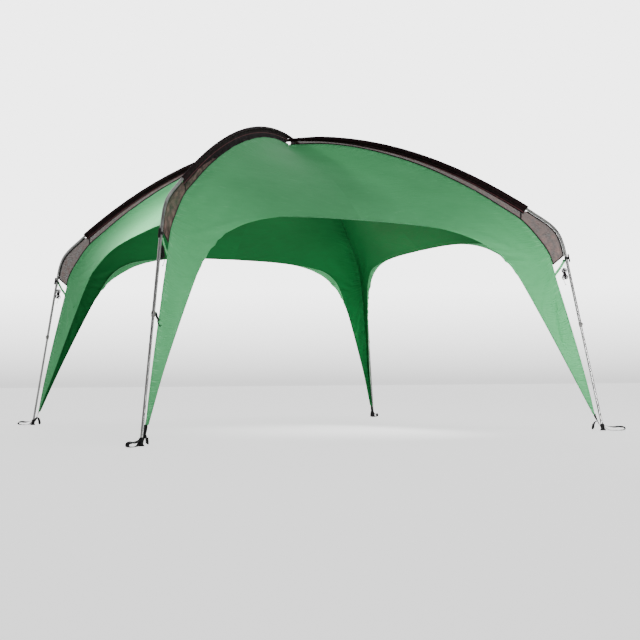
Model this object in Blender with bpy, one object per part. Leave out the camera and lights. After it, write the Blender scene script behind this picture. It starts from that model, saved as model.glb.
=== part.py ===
"""Tarp shelter on two crossing arched poles, with four telescoping legs.

Origin: floor level under the middle. +Z is up, -Y faces the front-right opening.
Every leg stands on a diagonal, so a leg's pieces are drawn once in the plane of
its diagonal (x = distance from the middle, z = height) and turned into place.
The canopy panels are drawn once in the frame of the face that they hang in.
"""
from math import atan2, cos, hypot, pi, radians, sin, sqrt

import bmesh
import bpy
import numpy as np
from mathutils import Matrix

# ---------------------------------------------------------------- dimensions
SIDE = 3.67                 # between neighbouring feet
FOOT_R = SIDE / sqrt(2)     # middle to foot, along the diagonal
APEX_HIGH = 2.530           # centreline of the arch that passes over, at the top
APEX_LOW = 2.500            # centreline of the arch that passes under
ARCH_END = (2.060, 1.753)   # lower end of a roof pole: distance, height
LEG_TOP = (2.333, 1.405)    # lower end of an elbow: distance, height

TUBE_R = 0.011              # poles and upper legs, outside
TUBE_BORE = 0.0098
INNER_R = 0.0095            # lower legs and spigots, outside
INNER_BORE = 0.0083
SPIGOT = 0.045              # length of a joint that plugs into the next tube
GAP = 0.0003                # between pieces that touch
SHOULDER = 0.0002           # step from an elbow's full width to its spigot
COLLAR_STEP = 0.003         # straight stretch behind that step
TUBE_SIDES = 10
RING_SIDES = 16             # round plastic pieces
FRONT_BACK = ("front", "back")

UPPER_LEG = 0.600           # length of an upper leg tube
OVERLAP = 0.160             # of the lower leg inside the upper leg, legs long
TRAVEL = 0.200              # how far a lower leg slides in
HOLE_STEP = 0.050           # between the holes that the lock catches in
LOCK_AT = 0.588             # lock button's distance below the leg's top
HOLE_R = 0.0055
COLLAR_R = 0.0138
COLLAR_TOP = 0.571          # below the leg's top, like COLLAR_END
COLLAR_END = 0.609
BOSS_R = 0.0085
BOSS_FACE = 0.0168          # boss's front, from the leg's axis
BUTTON_R = 0.0050
BUTTON_BACK = 0.0122
BUTTON_FACE = 0.0208
BUTTON_BORE_R = 0.0053

FOOT_BASE_R = 0.023
FOOT_NECK_R = 0.0138
FOOT_TOP = 0.052            # along the leg, above the floor
TUBE_END = 0.016            # lower leg's end above the floor, along the leg

SLEEVE_R = 0.0140
SLEEVE_BORE = 0.0125
CROSSING_CLEAR = 0.022      # half length of the upper sleeve with no tail
SLEEVE_SHORT = 0.018        # from a sleeve's end to the elbow
SLEEVE_TAIL = 0.050         # from the pole's centre to the sleeve's lower edge
CLOTH = 0.003
FIN = 0.002                 # thickness of the mesh
LOW_TAIL_SHARE = 0.5        # of the drop between the arches, taken off the lower sleeve's tail
VENT_CLEAR = 0.006          # from the mesh to the sleeve
VENT_SEAM_CLEAR = 0.002     # from the mesh to the canopy seam
CLIP_HEIGHT = 1.352         # corner clip on the leg
HANK_HEIGHT = 1.237         # middle of a tied-up guy line
HANK_HALF_LENGTH = 0.050
HANK_HALF_WIDTH = 0.0225
HANK_HALF_DEPTH = 0.0125
WEBBING = 0.025
WEB_T = 0.002

# canopy seam under each arch: distance along the diagonal, height
SEAM = ((0.006, 2.460), (0.32, 2.440), (0.62, 2.383), (0.93, 2.285), (1.25, 2.150),
        (1.60, 1.955), (1.85, 1.785), (2.01, 1.665), (2.14, 1.505), (2.215, 1.380),
        (2.262, 1.200), (2.345, 0.900), (2.425, 0.600), (2.498, 0.300), (2.535, 0.115))
# edge of an opening, from its crown to a leg: outward, along the face, height
EDGE = ((1.329, 0.00, 1.597), (1.334, 0.43, 1.590), (1.352, 0.80, 1.562),
        (1.380, 1.02, 1.522), (1.418, 1.145, 1.455), (1.445, 1.226, 1.365),
        (1.494, 1.324, 1.189), (1.559, 1.437, 0.946), (1.630, 1.553, 0.680),
        (1.697, 1.656, 0.432), (1.790, 1.771, 0.130))
CROWN_SEAM_R = 1.880        # seam point level with the opening's crown
FLAP_TOP = 1.310            # height where the leg flap starts
SEAM_CLEAR = 0.005          # panel to the diagonal plane
PANEL_TRIM = 0.10           # share of its last row that a panel stops short
FLAP_TRIM = 0.03            # share of its first row that a flap starts late
ROWS_ROOF, ROWS_SIDE, ROWS_FLAP = 7, 6, 5
COLUMNS = 5

CORNERS = {"front": 225, "right": -45, "back": 45, "left": 135}
FACES = {"front_right": -90, "back_right": 0, "back_left": 90, "front_left": 180}


# ------------------------------------------------------------------- helpers
def clear_scene():
    for item in list(bpy.data.objects):
        bpy.data.objects.remove(item, do_unlink=True)


def material(name, colour, roughness, metallic=0.0):
    made = bpy.data.materials.new(name)
    made.use_nodes = True
    shader = made.node_tree.nodes["Principled BSDF"]
    shader.inputs["Base Color"].default_value = (*colour, 1)
    shader.inputs["Roughness"].default_value = roughness
    shader.inputs["Metallic"].default_value = metallic
    made.diffuse_color = (*colour, 1)
    return made


def finished(name, work, smooth=True):
    """Mesh from a bmesh, with its faces pointing out."""
    bmesh.ops.remove_doubles(work, verts=work.verts, dist=1e-6)
    bmesh.ops.recalc_face_normals(work, faces=work.faces)
    mesh = bpy.data.meshes.new(name)
    work.to_mesh(mesh)
    work.free()
    if smooth:
        mesh.shade_smooth()
        mesh.set_sharp_from_angle(angle=radians(40))
    return mesh


def add_skin(work, rings, wrap=False):
    """Join rings of points into one skin, closed by caps or end to end."""
    rows = [[work.verts.new(point) for point in ring] for ring in rings]
    pairs = list(zip(rows, rows[1:]))
    if wrap:
        pairs.append((rows[-1], rows[0]))
    for one, two in pairs:
        for index in range(len(one)):
            after = (index + 1) % len(one)
            work.faces.new((one[index], one[after], two[after], two[index]))
    if not wrap:
        work.faces.new(rows[0][::-1])
        work.faces.new(rows[-1])


def skin(name, *ring_sets, wrap=False):
    work = bmesh.new()
    for rings in ring_sets:
        add_skin(work, rings, wrap)
    return finished(name, work)


def place(name, mesh, look, parent, location=(0, 0, 0)):
    item = bpy.data.objects.new(name, mesh)
    if look and not mesh.materials:
        mesh.materials.append(look)
    item.location = location
    item.parent = parent
    bpy.context.collection.objects.link(item)
    return item


def empty(name, parent=None, location=(0, 0, 0), rotation=(0, 0, 0)):
    item = bpy.data.objects.new(name, None)
    item.location = location
    item.rotation_euler = rotation
    item.parent = parent
    bpy.context.collection.objects.link(item)
    return item


def cut(item, cutter, operation="DIFFERENCE"):
    cutter.hide_render = True
    cutter.display_type = "WIRE"
    step = item.modifiers.new(cutter.name, "BOOLEAN")
    step.operation = operation
    step.object = cutter


# --------------------------------------------------------- curves of a corner
def spline(points, count):
    """Evenly spaced points on a smooth curve through the given points."""
    points = np.array(points, float)
    padded = np.vstack([2 * points[0] - points[1], points, 2 * points[-1] - points[-2]])
    dense = []
    for index in range(len(points) - 1):
        a, b, c, d = padded[index:index + 4]
        for t in np.linspace(0, 1, 24, endpoint=False):
            dense.append(0.5 * (2 * b + (c - a) * t + (2 * a - 5 * b + 4 * c - d) * t ** 2
                                + (3 * b - a - 3 * c + d) * t ** 3))
    dense.append(points[-1])
    return evenly(np.array(dense), count)


def evenly(points, count):
    steps = np.linalg.norm(np.diff(points, axis=0), axis=1)
    along = np.concatenate([[0], np.cumsum(steps)])
    wanted = np.linspace(0, along[-1], count)
    return np.stack([np.interp(wanted, along, points[:, k]) for k in range(points.shape[1])], 1)


def arch_height(distance, apex):
    drop = (apex - ARCH_END[1]) * (distance / ARCH_END[0]) ** 2
    return apex - drop


def arch_path(start, end, count, apex):
    return [(r, arch_height(r, apex)) for r in np.linspace(start, end, count)]


def leg_direction():
    run = FOOT_R - LEG_TOP[0]
    length = hypot(run, LEG_TOP[1])
    return run / length, -LEG_TOP[1] / length


def along_leg(height):
    """Distance from the middle of the leg's axis at a height."""
    return FOOT_R - (FOOT_R - LEG_TOP[0]) * height / LEG_TOP[1]


def elbow_curve(count):
    """Bend from the roof pole's slope to the leg's slope."""
    slope = arch_slope()
    reach = 0.220 / sqrt(1 + slope ** 2)
    lean = leg_direction()
    a = np.array(ARCH_END)
    b = a + np.array((reach, -slope * reach))
    d = np.array(LEG_TOP)
    c = d - 0.200 * np.array(lean)
    found = []
    for t in np.linspace(0, 1, count):
        found.append((1 - t) ** 3 * a + 3 * t * (1 - t) ** 2 * b + 3 * t ** 2 * (1 - t) * c + t ** 3 * d)
    return [tuple(point) for point in found]


def tangents(path):
    path = np.array(path)
    ways = np.gradient(path, axis=0)
    return ways / np.linalg.norm(ways, axis=1)[:, None]


def beside(path, offset):
    """The path moved by offset to its inner (lower) side."""
    ways = tangents(path)
    return [(r + offset * way[1], z - offset * way[0]) for (r, z), way in zip(path, ways)]


def circle(centre, way, radius, sides=TUBE_SIDES):
    """Ring round a point of the diagonal plane, square to the way given."""
    ring = []
    for step in range(sides):
        angle = 2 * pi * step / sides
        up, across = radius * cos(angle), radius * sin(angle)
        ring.append((centre[0] - way[1] * up, across, centre[1] + way[0] * up))
    return ring


def tube(path, outer, bore):
    """Rings of a hollow tube; outer is one radius or one for each point."""
    if not hasattr(outer, "__len__"):
        outer = [outer] * len(path)
    ways = tangents(path)
    outside = [circle(p, way, radius) for p, way, radius in zip(path, ways, outer)]
    inside = [circle(p, way, bore) for p, way in zip(path, ways)]
    return outside + inside[::-1]


def ribbon(path, width=WEBBING, thickness=WEB_T):
    """Rings of a flat strap whose width lies across the diagonal plane."""
    ways = tangents(path)
    rings = []
    for (r, z), way in zip(path, ways):
        x, up = -way[1] * thickness / 2, way[0] * thickness / 2
        rings.append([(r + x, width / 2, z + up), (r + x, -width / 2, z + up),
                      (r - x, -width / 2, z - up), (r - x, width / 2, z - up)])
    return rings


# -------------------------------------------------------------------- frame
def arch_slope():
    """Fall of a roof pole at its lower end, where the elbow plugs in."""
    return 2 * (APEX_HIGH - ARCH_END[1]) / ARCH_END[0]


def socket_point(back):
    """Point of a roof pole's straight end, a distance before the elbow."""
    stretch = sqrt(1 + arch_slope() ** 2)
    return ARCH_END[0] - back / stretch, ARCH_END[1] + arch_slope() * back / stretch


def arch_line(apex):
    """Points that a roof pole and its sleeve share, from the crossing to the socket."""
    socket = socket_point(SPIGOT + 0.004)
    bent = np.linspace(CROSSING_CLEAR * 3, socket[0] - 0.10, 9)
    return [(r, arch_height(r, apex)) for r in (CROSSING_CLEAR, *bent)] + [socket]


def roof_pole(apex):
    path = [(GAP, arch_height(GAP, apex))] + arch_line(apex) + [socket_point(GAP)]
    return skin("roof_pole", tube(path, TUBE_R, TUBE_BORE), wrap=True)


def ridge_ferrule(apex):
    """Joint tube inside both halves of an arch, at the top."""
    path = [(r, arch_height(abs(r), apex)) for r in np.linspace(-0.06, 0.06, 5)]
    return skin("ridge_ferrule", tube(path, INNER_R, INNER_BORE), wrap=True)


def elbow():
    """Bent tube with a reduced spigot at each end."""
    slope = arch_slope()
    fall = np.array((1, -slope)) / sqrt(1 + slope ** 2)
    lean = np.array(leg_direction())
    bend = np.array(elbow_curve(8))
    path = [bend[0] + fall * on for on in (-SPIGOT, -SHOULDER, 0, COLLAR_STEP)]
    path += list(bend[1:-1])
    path += [bend[-1] + lean * on for on in (-COLLAR_STEP, 0, SHOULDER, SPIGOT)]
    spigot = [INNER_R - GAP] * 2
    radii = spigot + [TUBE_R] * (len(path) - 4) + spigot
    return skin("elbow", tube(path, radii, INNER_BORE), wrap=True)


def straight_tube(top, end, outer, bore, rings=2):
    """Tube along a leg's own axis; distances are below the leg's top."""
    path = [(0, -distance) for distance in np.linspace(top, end, rings)]
    return tube(path, outer, bore)


def leg_drill(name, parent, depths, radius, reach):
    """Cutter with round pegs through one wall of a leg tube."""
    work = bmesh.new()
    for depth in depths:
        turn = Matrix.Translation((reach / 2 + 0.004, 0, -depth)) @ Matrix.Rotation(pi / 2, 4, "Y")
        bmesh.ops.create_cone(work, cap_ends=True, segments=12, radius1=radius, radius2=radius,
                              depth=reach, matrix=turn)
    return place(name, finished(name, work), None, parent)


def lock_collar():
    """Moulded collar on the upper leg's end, with a lip round the lower leg."""
    rings = []
    lip = UPPER_LEG + GAP
    outside = ((COLLAR_TOP, 0.0122), (COLLAR_TOP + 0.003, COLLAR_R), (COLLAR_END - 0.006, COLLAR_R),
               (COLLAR_END, 0.0118))
    inside = ((COLLAR_END, INNER_R + GAP), (lip, INNER_R + GAP), (lip, TUBE_R + GAP),
              (COLLAR_TOP, TUBE_R + GAP))
    for depth, radius in outside + inside:
        rings.append(circle((0, -depth), (0, -1), radius, RING_SIDES))
    return skin("lock_collar", rings, wrap=True)


def peg(radius_steps, depth, sides=12):
    """Round peg that points outwards from a leg: (distance, radius) steps."""
    rings = []
    for distance, radius in radius_steps:
        rings.append([(distance, radius * cos(2 * pi * k / sides),
                       -depth + radius * sin(2 * pi * k / sides)) for k in range(sides)])
    return rings


def lock_button():
    steps = ((BUTTON_BACK, BUTTON_R), (BUTTON_FACE - 0.0016, BUTTON_R),
             (BUTTON_FACE - 0.0005, BUTTON_R - 0.0006), (BUTTON_FACE, BUTTON_R - 0.0020))
    return skin("lock_button", peg(steps, LOCK_AT))


def foot():
    """Moulded foot: a flat round base on the floor, a neck along the leg, a blind bore."""
    lean = leg_direction()
    flat = (0, -1)
    rings = []
    for height, radius in ((0, FOOT_BASE_R - 0.001), (0.001, FOOT_BASE_R), (0.006, FOOT_BASE_R),
                           (0.011, FOOT_BASE_R - 0.006)):
        rings.append(circle((along_leg(height) - FOOT_R, height), flat, radius, RING_SIDES))
    neck = ((0.020, FOOT_NECK_R), (FOOT_TOP - 0.002, FOOT_NECK_R), (FOOT_TOP, FOOT_NECK_R - 0.0015),
            (FOOT_TOP, INNER_R + GAP), (TUBE_END - GAP, INNER_R + GAP))
    for up, radius in neck:
        rings.append(circle((-lean[0] * up, -lean[1] * up), lean, radius, RING_SIDES))
    return skin("foot", rings)


# ------------------------------------------------------- webbing at the feet
def strap_band():
    """Band of webbing sewn round the foot's neck."""
    lean = leg_direction()
    inner, outer = FOOT_NECK_R + GAP, FOOT_NECK_R + GAP + WEB_T
    low, high = (-lean[0] * 0.023, -lean[1] * 0.023), (-lean[0] * 0.047, -lean[1] * 0.047)
    rings = [circle(low, lean, outer, RING_SIDES), circle(high, lean, outer, RING_SIDES),
             circle(high, lean, inner, RING_SIDES), circle(low, lean, inner, RING_SIDES)]
    return skin("strap_band", rings, wrap=True)


def strap_rise():
    """Strap from the band up to the tip of the leg flap."""
    path = spline(((-0.0222, 0.034), (-0.0300, 0.048), (-0.0385, 0.066), (-0.0585, 0.104)), 7)
    return skin("strap_rise", ribbon(path))


def strap_tail():
    """Loose end of the strap, above the buckle."""
    path = spline(((-0.0400, 0.0690), (-0.052, 0.070), (-0.066, 0.058), (-0.074, 0.036),
                   (-0.078, 0.014)), 8)
    return skin("strap_tail", ribbon(path, WEBBING * 0.8))


def stake_loop():
    """Webbing that runs out along the floor, rises and comes back to the band."""
    path = spline(((0.0112, 0.0270), (0.024, 0.0150), (0.045, 0.0042), (0.075, 0.0016),
                   (0.115, 0.0016), (0.150, 0.0040), (0.165, 0.0160), (0.150, 0.0280),
                   (0.118, 0.0300), (0.080, 0.0270), (0.040, 0.0310), (0.0086, 0.0400)), 24)
    return skin("stake_loop", ribbon(path))


def strap_buckle():
    """Ladder buckle: a flat frame that the strap runs through."""
    centre = np.array((-0.0343, 0.0570))
    way = np.array((-0.427, 0.904))
    side = np.array((-way[1], way[0]))
    rings = []
    for half_width, half_depth, push in ((0.0175, 0.0050, -0.007), (0.0175, 0.0050, 0.007),
                                         (0.0135, 0.0021, 0.007), (0.0135, 0.0021, -0.007)):
        middle = centre + way * push
        ring = []
        for sign_y, sign_s in ((1, 1), (-1, 1), (-1, -1), (1, -1)):
            spot = middle + side * half_depth * sign_s
            ring.append((spot[0], half_width * sign_y, spot[1]))
        rings.append(ring)
    return skin("strap_buckle", rings, wrap=True)


# ------------------------------------------------- sleeves, mesh and clips
def sleeve_ring(centre, way, tail):
    """Teardrop section: round over the pole, a flat tail below it."""
    outer, inner = [], []
    turns = [radians(-55 + 290 * step / 7) for step in range(8)]
    for turn in turns:
        across, up = cos(turn), sin(turn)
        outer.append((across * SLEEVE_R, up * SLEEVE_R))
        inner.append((across * SLEEVE_BORE, up * SLEEVE_BORE))
    outer += [(-0.0016, -tail), (0.0016, -tail)]
    inner += [(-0.003, -SLEEVE_BORE), (0.003, -SLEEVE_BORE)]

    def spread(section):
        return [(centre[0] - way[1] * up, across, centre[1] + way[0] * up) for across, up in section]
    return spread(outer), spread(inner)


def tail_depth(distance, apex):
    """From the pole's centre to the sleeve's lower edge: less over the lower arch."""
    given_up = LOW_TAIL_SHARE * (APEX_HIGH - apex) * (1 - (distance / ARCH_END[0]) ** 2)
    depth = min(SLEEVE_TAIL, 0.028 + 0.0275 * distance) - given_up
    return max(depth, SLEEVE_R + GAP)


def pole_sleeve(apex):
    """Sleeve over a whole arch. The upper one has no tail where it crosses the lower."""
    half = arch_line(apex) + [socket_point(SLEEVE_SHORT)]
    path = [(-r, z) for r, z in half[::-1]] + half
    pairs = []
    for point, way in zip(path, tangents(path)):
        crossing = apex == APEX_HIGH and abs(point[0]) <= CROSSING_CLEAR
        tail = SLEEVE_R + GAP if crossing else tail_depth(abs(point[0]), apex)
        pairs.append(sleeve_ring(point, way, tail))
    rings = [pair[0] for pair in pairs] + [pair[1] for pair in pairs[::-1]]
    return skin("pole_sleeve", rings, wrap=True)


def fin(upper, lower):
    """Thin upright web in the diagonal plane between two lines."""
    rings = []
    for (r1, z1), (r2, z2) in zip(upper, lower):
        rings.append([(r1, FIN / 2, z1), (r1, -FIN / 2, z1), (r2, -FIN / 2, z2), (r2, FIN / 2, z2)])
    return rings


def seam_curve():
    """The seam, densely, in the diagonal plane."""
    return spline(SEAM, 400)


def seam_part(start, end, count):
    """Stretch of the seam between two distances from the middle."""
    dense = seam_curve()
    inside = dense[(dense[:, 0] >= start) & (dense[:, 0] <= end)]
    return evenly(inside, count)


def vent_mesh(apex):
    """Mesh strip between sleeve and seam, widening to a gusset inside the elbow."""
    lower = beside(seam_part(0.100, 1.993, 11), -VENT_SEAM_CLEAR)
    upper = []
    for r, _ in lower[:-1]:
        way = tangents(arch_path(r - 0.01, r + 0.01, 3, apex))[1]
        upper.append((r, arch_height(r, apex) - (tail_depth(r, apex) + VENT_CLEAR) / way[0]))
    leg = [(along_leg(z), z) for z in (1.395, 1.380)]
    pole = evenly(np.array([socket_point(SLEEVE_SHORT / 2)] + elbow_curve(20) + leg), 8)
    below_sleeve = beside(pole, SLEEVE_TAIL + VENT_CLEAR)[0]
    outer = beside(pole, TUBE_R + 0.003)
    inner = beside(seam_part(2.003, 2.236, 8), -VENT_SEAM_CLEAR)
    return skin("vent_mesh", fin(upper + [below_sleeve] + outer, lower + inner))


def clip_frame():
    """Point and direction on the leg where the corner clip sits."""
    lean = leg_direction()
    return (along_leg(CLIP_HEIGHT), CLIP_HEIGHT), lean


def corner_clip():
    """C-shaped snap clip round the leg; its lever is joined to it afterwards."""
    centre, lean = clip_frame()
    side = (-lean[1], lean[0])
    inner, outer, half = TUBE_R + 0.0005, TUBE_R + 0.0045, 0.010
    arc = []
    for step in range(11):
        angle = radians(-140 + 280 * step / 10)
        ring = []
        for radius, push in ((inner, -half), (outer, -half), (outer, half), (inner, half)):
            out, across = radius * cos(angle), radius * sin(angle)
            ring.append((centre[0] + side[0] * out - lean[0] * push, across,
                         centre[1] + side[1] * out - lean[1] * push))
        arc.append(ring)
    return skin("corner_clip", arc)


def clip_lever():
    """Thick lever along the leg's outer side, part of the corner clip."""
    centre, lean = clip_frame()
    side = (-lean[1], lean[0])
    away = TUBE_R + 0.009
    path = [(centre[0] + lean[0] * run + side[0] * (away + bulge),
             centre[1] + lean[1] * run + side[1] * (away + bulge))
            for run, bulge in ((-0.031, 0.001), (-0.012, 0), (0.005, 0), (0.020, 0.001), (0.034, 0))]
    return skin("clip_lever", ribbon(path, 0.016, 0.0125))


def guy_hank():
    """Outer shape of a tied-up guy line: a rounded outline in the diagonal plane, inside the leg."""
    lean = leg_direction()
    side = (-lean[1], lean[0])
    away = TUBE_R + 0.001 + HANK_HALF_WIDTH
    middle = (along_leg(HANK_HEIGHT) - side[0] * away, HANK_HEIGHT - side[1] * away)
    straight = HANK_HALF_LENGTH - HANK_HALF_WIDTH
    rings = []
    for depth in (-HANK_HALF_DEPTH, HANK_HALF_DEPTH):
        ring = []
        for step in range(16):
            angle = 2 * pi * (step + 0.5) / 16
            out = HANK_HALF_WIDTH * cos(angle)
            run = HANK_HALF_WIDTH * sin(angle) + (straight if sin(angle) >= 0 else -straight)
            ring.append((middle[0] + side[0] * out - lean[0] * run, depth,
                         middle[1] + side[1] * out - lean[1] * run))
        rings.append(ring)
    return skin("guy_hank", rings)


# ------------------------------------------------------------------- canopy
def half_sheet():
    """Grid of a half face of cloth: rows run from the seam to the middle or the edge.

    The seam, the opening's edge and the ends are held, and the rest is pulled
    tight between them by averaging each point with its neighbours.
    """
    seam = seam_curve()
    edge = spline(EDGE, 400)
    crown = int(np.argmin(abs(seam[:, 0] - CROWN_SEAM_R)))
    flap = int(np.argmin(abs(seam[:, 1] - FLAP_TOP)))
    edge_flap = int(np.argmin(abs(edge[:, 2] - FLAP_TOP)))
    seam_rows = np.vstack([evenly(seam[:crown + 1], ROWS_ROOF + 1),
                           evenly(seam[crown:flap + 1], ROWS_SIDE + 1)[1:],
                           evenly(seam[flap:], ROWS_FLAP + 1)[1:]])
    ridge = np.array([(seam[0, 0] / sqrt(2), 0, seam[0, 1]), edge[0]])
    far_rows = np.vstack([evenly(ridge, ROWS_ROOF + 1), evenly(edge[:edge_flap + 1], ROWS_SIDE + 1)[1:],
                          evenly(edge[edge_flap:], ROWS_FLAP + 1)[1:]])
    out = seam_rows[:, 0] / sqrt(2)
    shift = SEAM_CLEAR / sqrt(2)
    near = np.stack([out + shift, out - shift, seam_rows[:, 1]], 1)
    blend = np.linspace(0, 1, COLUMNS + 1)[None, :, None]
    grid = near[:, None, :] * (1 - blend) + far_rows[:, None, :] * blend
    for _ in range(1500):
        inner = (grid[:-2, 1:-1] + grid[2:, 1:-1] + grid[1:-1, :-2] + grid[1:-1, 2:]) / 4
        middle = (grid[:ROWS_ROOF - 1, -1] + grid[2:ROWS_ROOF + 1, -1]
                  + 2 * grid[1:ROWS_ROOF, -2]) / 4
        grid[1:-1, 1:-1] = inner
        grid[1:ROWS_ROOF, -1] = middle
        grid[1:ROWS_ROOF, -1, 1] = 0
    return grid


def sheet_mesh(name, grids):
    """Open mesh of one or more grids of points, joined where they meet."""
    work = bmesh.new()
    for grid in grids:
        rows = [[work.verts.new(point) for point in row] for row in grid]
        for one, two in zip(rows, rows[1:]):
            for index in range(len(one) - 1):
                work.faces.new((one[index], one[index + 1], two[index + 1], two[index]))
    bmesh.ops.remove_doubles(work, verts=work.verts, dist=1e-5)
    bmesh.ops.recalc_face_normals(work, faces=work.faces)
    mesh = bpy.data.meshes.new(name)
    work.to_mesh(mesh)
    work.free()
    mesh.shade_smooth()
    return mesh


def mirrored(grid):
    return grid[:, ::-1] * np.array((1, -1, 1))


def canopy_panel(grid):
    """Roof and side of one face, down to the tops of its two leg flaps."""
    last = ROWS_ROOF + ROWS_SIDE
    rows = grid[:last + 1].copy()
    rows[last] = rows[last] * (1 - PANEL_TRIM) + rows[last - 1] * PANEL_TRIM
    return sheet_mesh("canopy_panel", (rows, mirrored(rows)))


def leg_flap(grid):
    """Tapering V of cloth below two panels, drawn in the plane of its leg."""
    first = ROWS_ROOF + ROWS_SIDE
    rows = grid[first:].copy()
    rows[0] = rows[0] * (1 - FLAP_TRIM) + rows[1] * FLAP_TRIM
    out, along, height = rows[..., 0], rows[..., 1], rows[..., 2]
    wing = np.stack([(out + along) / sqrt(2), (along - out) / sqrt(2), height], 2)
    wing[:, 0, 1] = 0
    return sheet_mesh("leg_flap", (wing, mirrored(wing)))


def thicken(item):
    step = item.modifiers.new("thickness", "SOLIDIFY")
    step.thickness = CLOTH
    step.offset = 0
    step.use_even_offset = True


# ----------------------------------------------------------------- assembly
def looks():
    return {
        "metal": material("pole_metal", (0.62, 0.62, 0.63), 0.32, 1.0),
        "canopy": material("canopy_fabric", (0.10, 0.33, 0.15), 0.62),
        "sleeve": material("sleeve_fabric", (0.025, 0.008, 0.012), 0.70),
        "mesh": material("vent_mesh", (0.35, 0.27, 0.25), 0.80),
        "plastic": material("black_plastic", (0.015, 0.015, 0.016), 0.45),
        "webbing": material("black_webbing", (0.012, 0.012, 0.013), 0.80),
        "cord": material("guy_cord", (0.014, 0.011, 0.013), 0.75),
        "grey_plastic": material("grey_plastic", (0.12, 0.118, 0.115), 0.42),
        "button": material("button_plastic", (0.012, 0.012, 0.013), 0.40),
    }


def add_leg(corner, at, look, shared):
    """Straight tubes, collar and button in the leg's own frame, -Z down the leg."""
    lean = leg_direction()
    leg = empty("leg_axis_" + corner, at, (LEG_TOP[0], 0, LEG_TOP[1]), (0, -atan2(lean[0], -lean[1]), 0))
    upper = place("upper_leg_" + corner, shared["upper_leg"], look["metal"], leg)
    collar = place("lock_collar_" + corner, shared["lock_collar"], look["grey_plastic"], leg)
    lower = place("lower_leg_" + corner, shared["lower_leg"], look["metal"], leg)
    cut(upper, leg_drill("upper_drill_" + corner, leg, [LOCK_AT], HOLE_R, 0.016))
    holes = [LOCK_AT + HOLE_STEP * step for step in range(round(TRAVEL / HOLE_STEP) + 1)]
    cut(lower, leg_drill("lower_drill_" + corner, leg, holes, HOLE_R, 0.016))
    boss = place("boss_" + corner, shared["boss"], None, leg)
    cut(collar, boss, "UNION")
    cut(collar, place("boss_bore_" + corner, shared["boss_bore"], None, leg))
    place("lock_button_" + corner, shared["lock_button"], look["button"], leg)


def add_foot(corner, at, look, shared):
    base = empty("foot_axis_" + corner, at, (FOOT_R, 0, 0))
    place("foot_" + corner, shared["foot"], look["plastic"], base)
    strap = place("ground_strap_" + corner, shared["strap_band"], look["webbing"], base)
    for piece in ("strap_rise", "strap_tail", "stake_loop"):
        cut(strap, place(piece + "_" + corner, shared[piece], None, base), "UNION")
    place("strap_buckle_" + corner, shared["strap_buckle"], look["plastic"], base)


def add_top(corner, at, look, shared):
    place("roof_pole_" + corner, shared["roof_pole_" + arch_of(corner)], look["metal"], at)
    place("elbow_" + corner, shared["elbow"], look["metal"], at)
    place("vent_mesh_" + corner, shared["vent_mesh_" + arch_of(corner)], look["mesh"], at)
    clip = place("corner_clip_" + corner, shared["corner_clip"], look["plastic"], at)
    cut(clip, place("clip_lever_" + corner, shared["clip_lever"], None, at), "UNION")
    place("guy_hank_" + corner, shared["guy_hank"], look["cord"], at)
    thicken(place("leg_flap_" + corner, shared["leg_flap"], look["canopy"], at))


def arch_of(corner):
    return "high" if corner in FRONT_BACK else "low"


def shared_meshes(grid):
    lower_top = UPPER_LEG - OVERLAP
    leg_length = hypot(FOOT_R - LEG_TOP[0], LEG_TOP[1])
    return {
        "roof_pole_high": roof_pole(APEX_HIGH), "roof_pole_low": roof_pole(APEX_LOW),
        "vent_mesh_high": vent_mesh(APEX_HIGH), "vent_mesh_low": vent_mesh(APEX_LOW),
        "elbow": elbow(), "guy_hank": guy_hank(),
        "corner_clip": corner_clip(), "clip_lever": clip_lever(),
        "upper_leg": skin("upper_leg", straight_tube(GAP, UPPER_LEG, TUBE_R, TUBE_BORE), wrap=True),
        "lower_leg": skin("lower_leg", straight_tube(lower_top, leg_length - TUBE_END, INNER_R,
                                                     INNER_BORE), wrap=True),
        "lock_collar": lock_collar(), "lock_button": lock_button(),
        "boss": skin("boss", peg(((COLLAR_R - 0.0015, BOSS_R), (BOSS_FACE - 0.001, BOSS_R),
                                  (BOSS_FACE, BOSS_R - 0.001)), LOCK_AT)),
        "boss_bore": skin("boss_bore", peg(((TUBE_R - 0.002, BUTTON_BORE_R),
                                            (BOSS_FACE + 0.004, BUTTON_BORE_R)), LOCK_AT)),
        "foot": foot(), "strap_band": strap_band(), "strap_rise": strap_rise(),
        "strap_tail": strap_tail(), "stake_loop": stake_loop(), "strap_buckle": strap_buckle(),
        "leg_flap": leg_flap(grid), "canopy_panel": canopy_panel(grid),
    }


def build():
    clear_scene()
    look = looks()
    shared = shared_meshes(half_sheet())
    for corner, angle in CORNERS.items():
        at = empty("corner_" + corner, rotation=(0, 0, radians(angle)))
        add_top(corner, at, look, shared)
        add_leg(corner, at, look, shared)
        add_foot(corner, at, look, shared)
    for face, angle in FACES.items():
        at = empty("face_" + face, rotation=(0, 0, radians(angle)))
        thicken(place("canopy_panel_" + face, shared["canopy_panel"], look["canopy"], at))
    for name, apex, corner in (("front_back", APEX_HIGH, "front"), ("left_right", APEX_LOW, "left")):
        at = empty("arch_" + name, rotation=(0, 0, radians(CORNERS[corner])))
        place("pole_sleeve_" + name, pole_sleeve(apex), look["sleeve"], at)
        place("ridge_ferrule_" + name, ridge_ferrule(apex), look["metal"], at)


build()
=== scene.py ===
"""Looks of a four-legged tarp shelter: cloth, netting, webbing, cords, finishes, light and camera."""
from math import cos, hypot, pi, radians, sin, sqrt

import bmesh
import bpy
import numpy as np
from mathutils import Matrix, Vector


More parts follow.
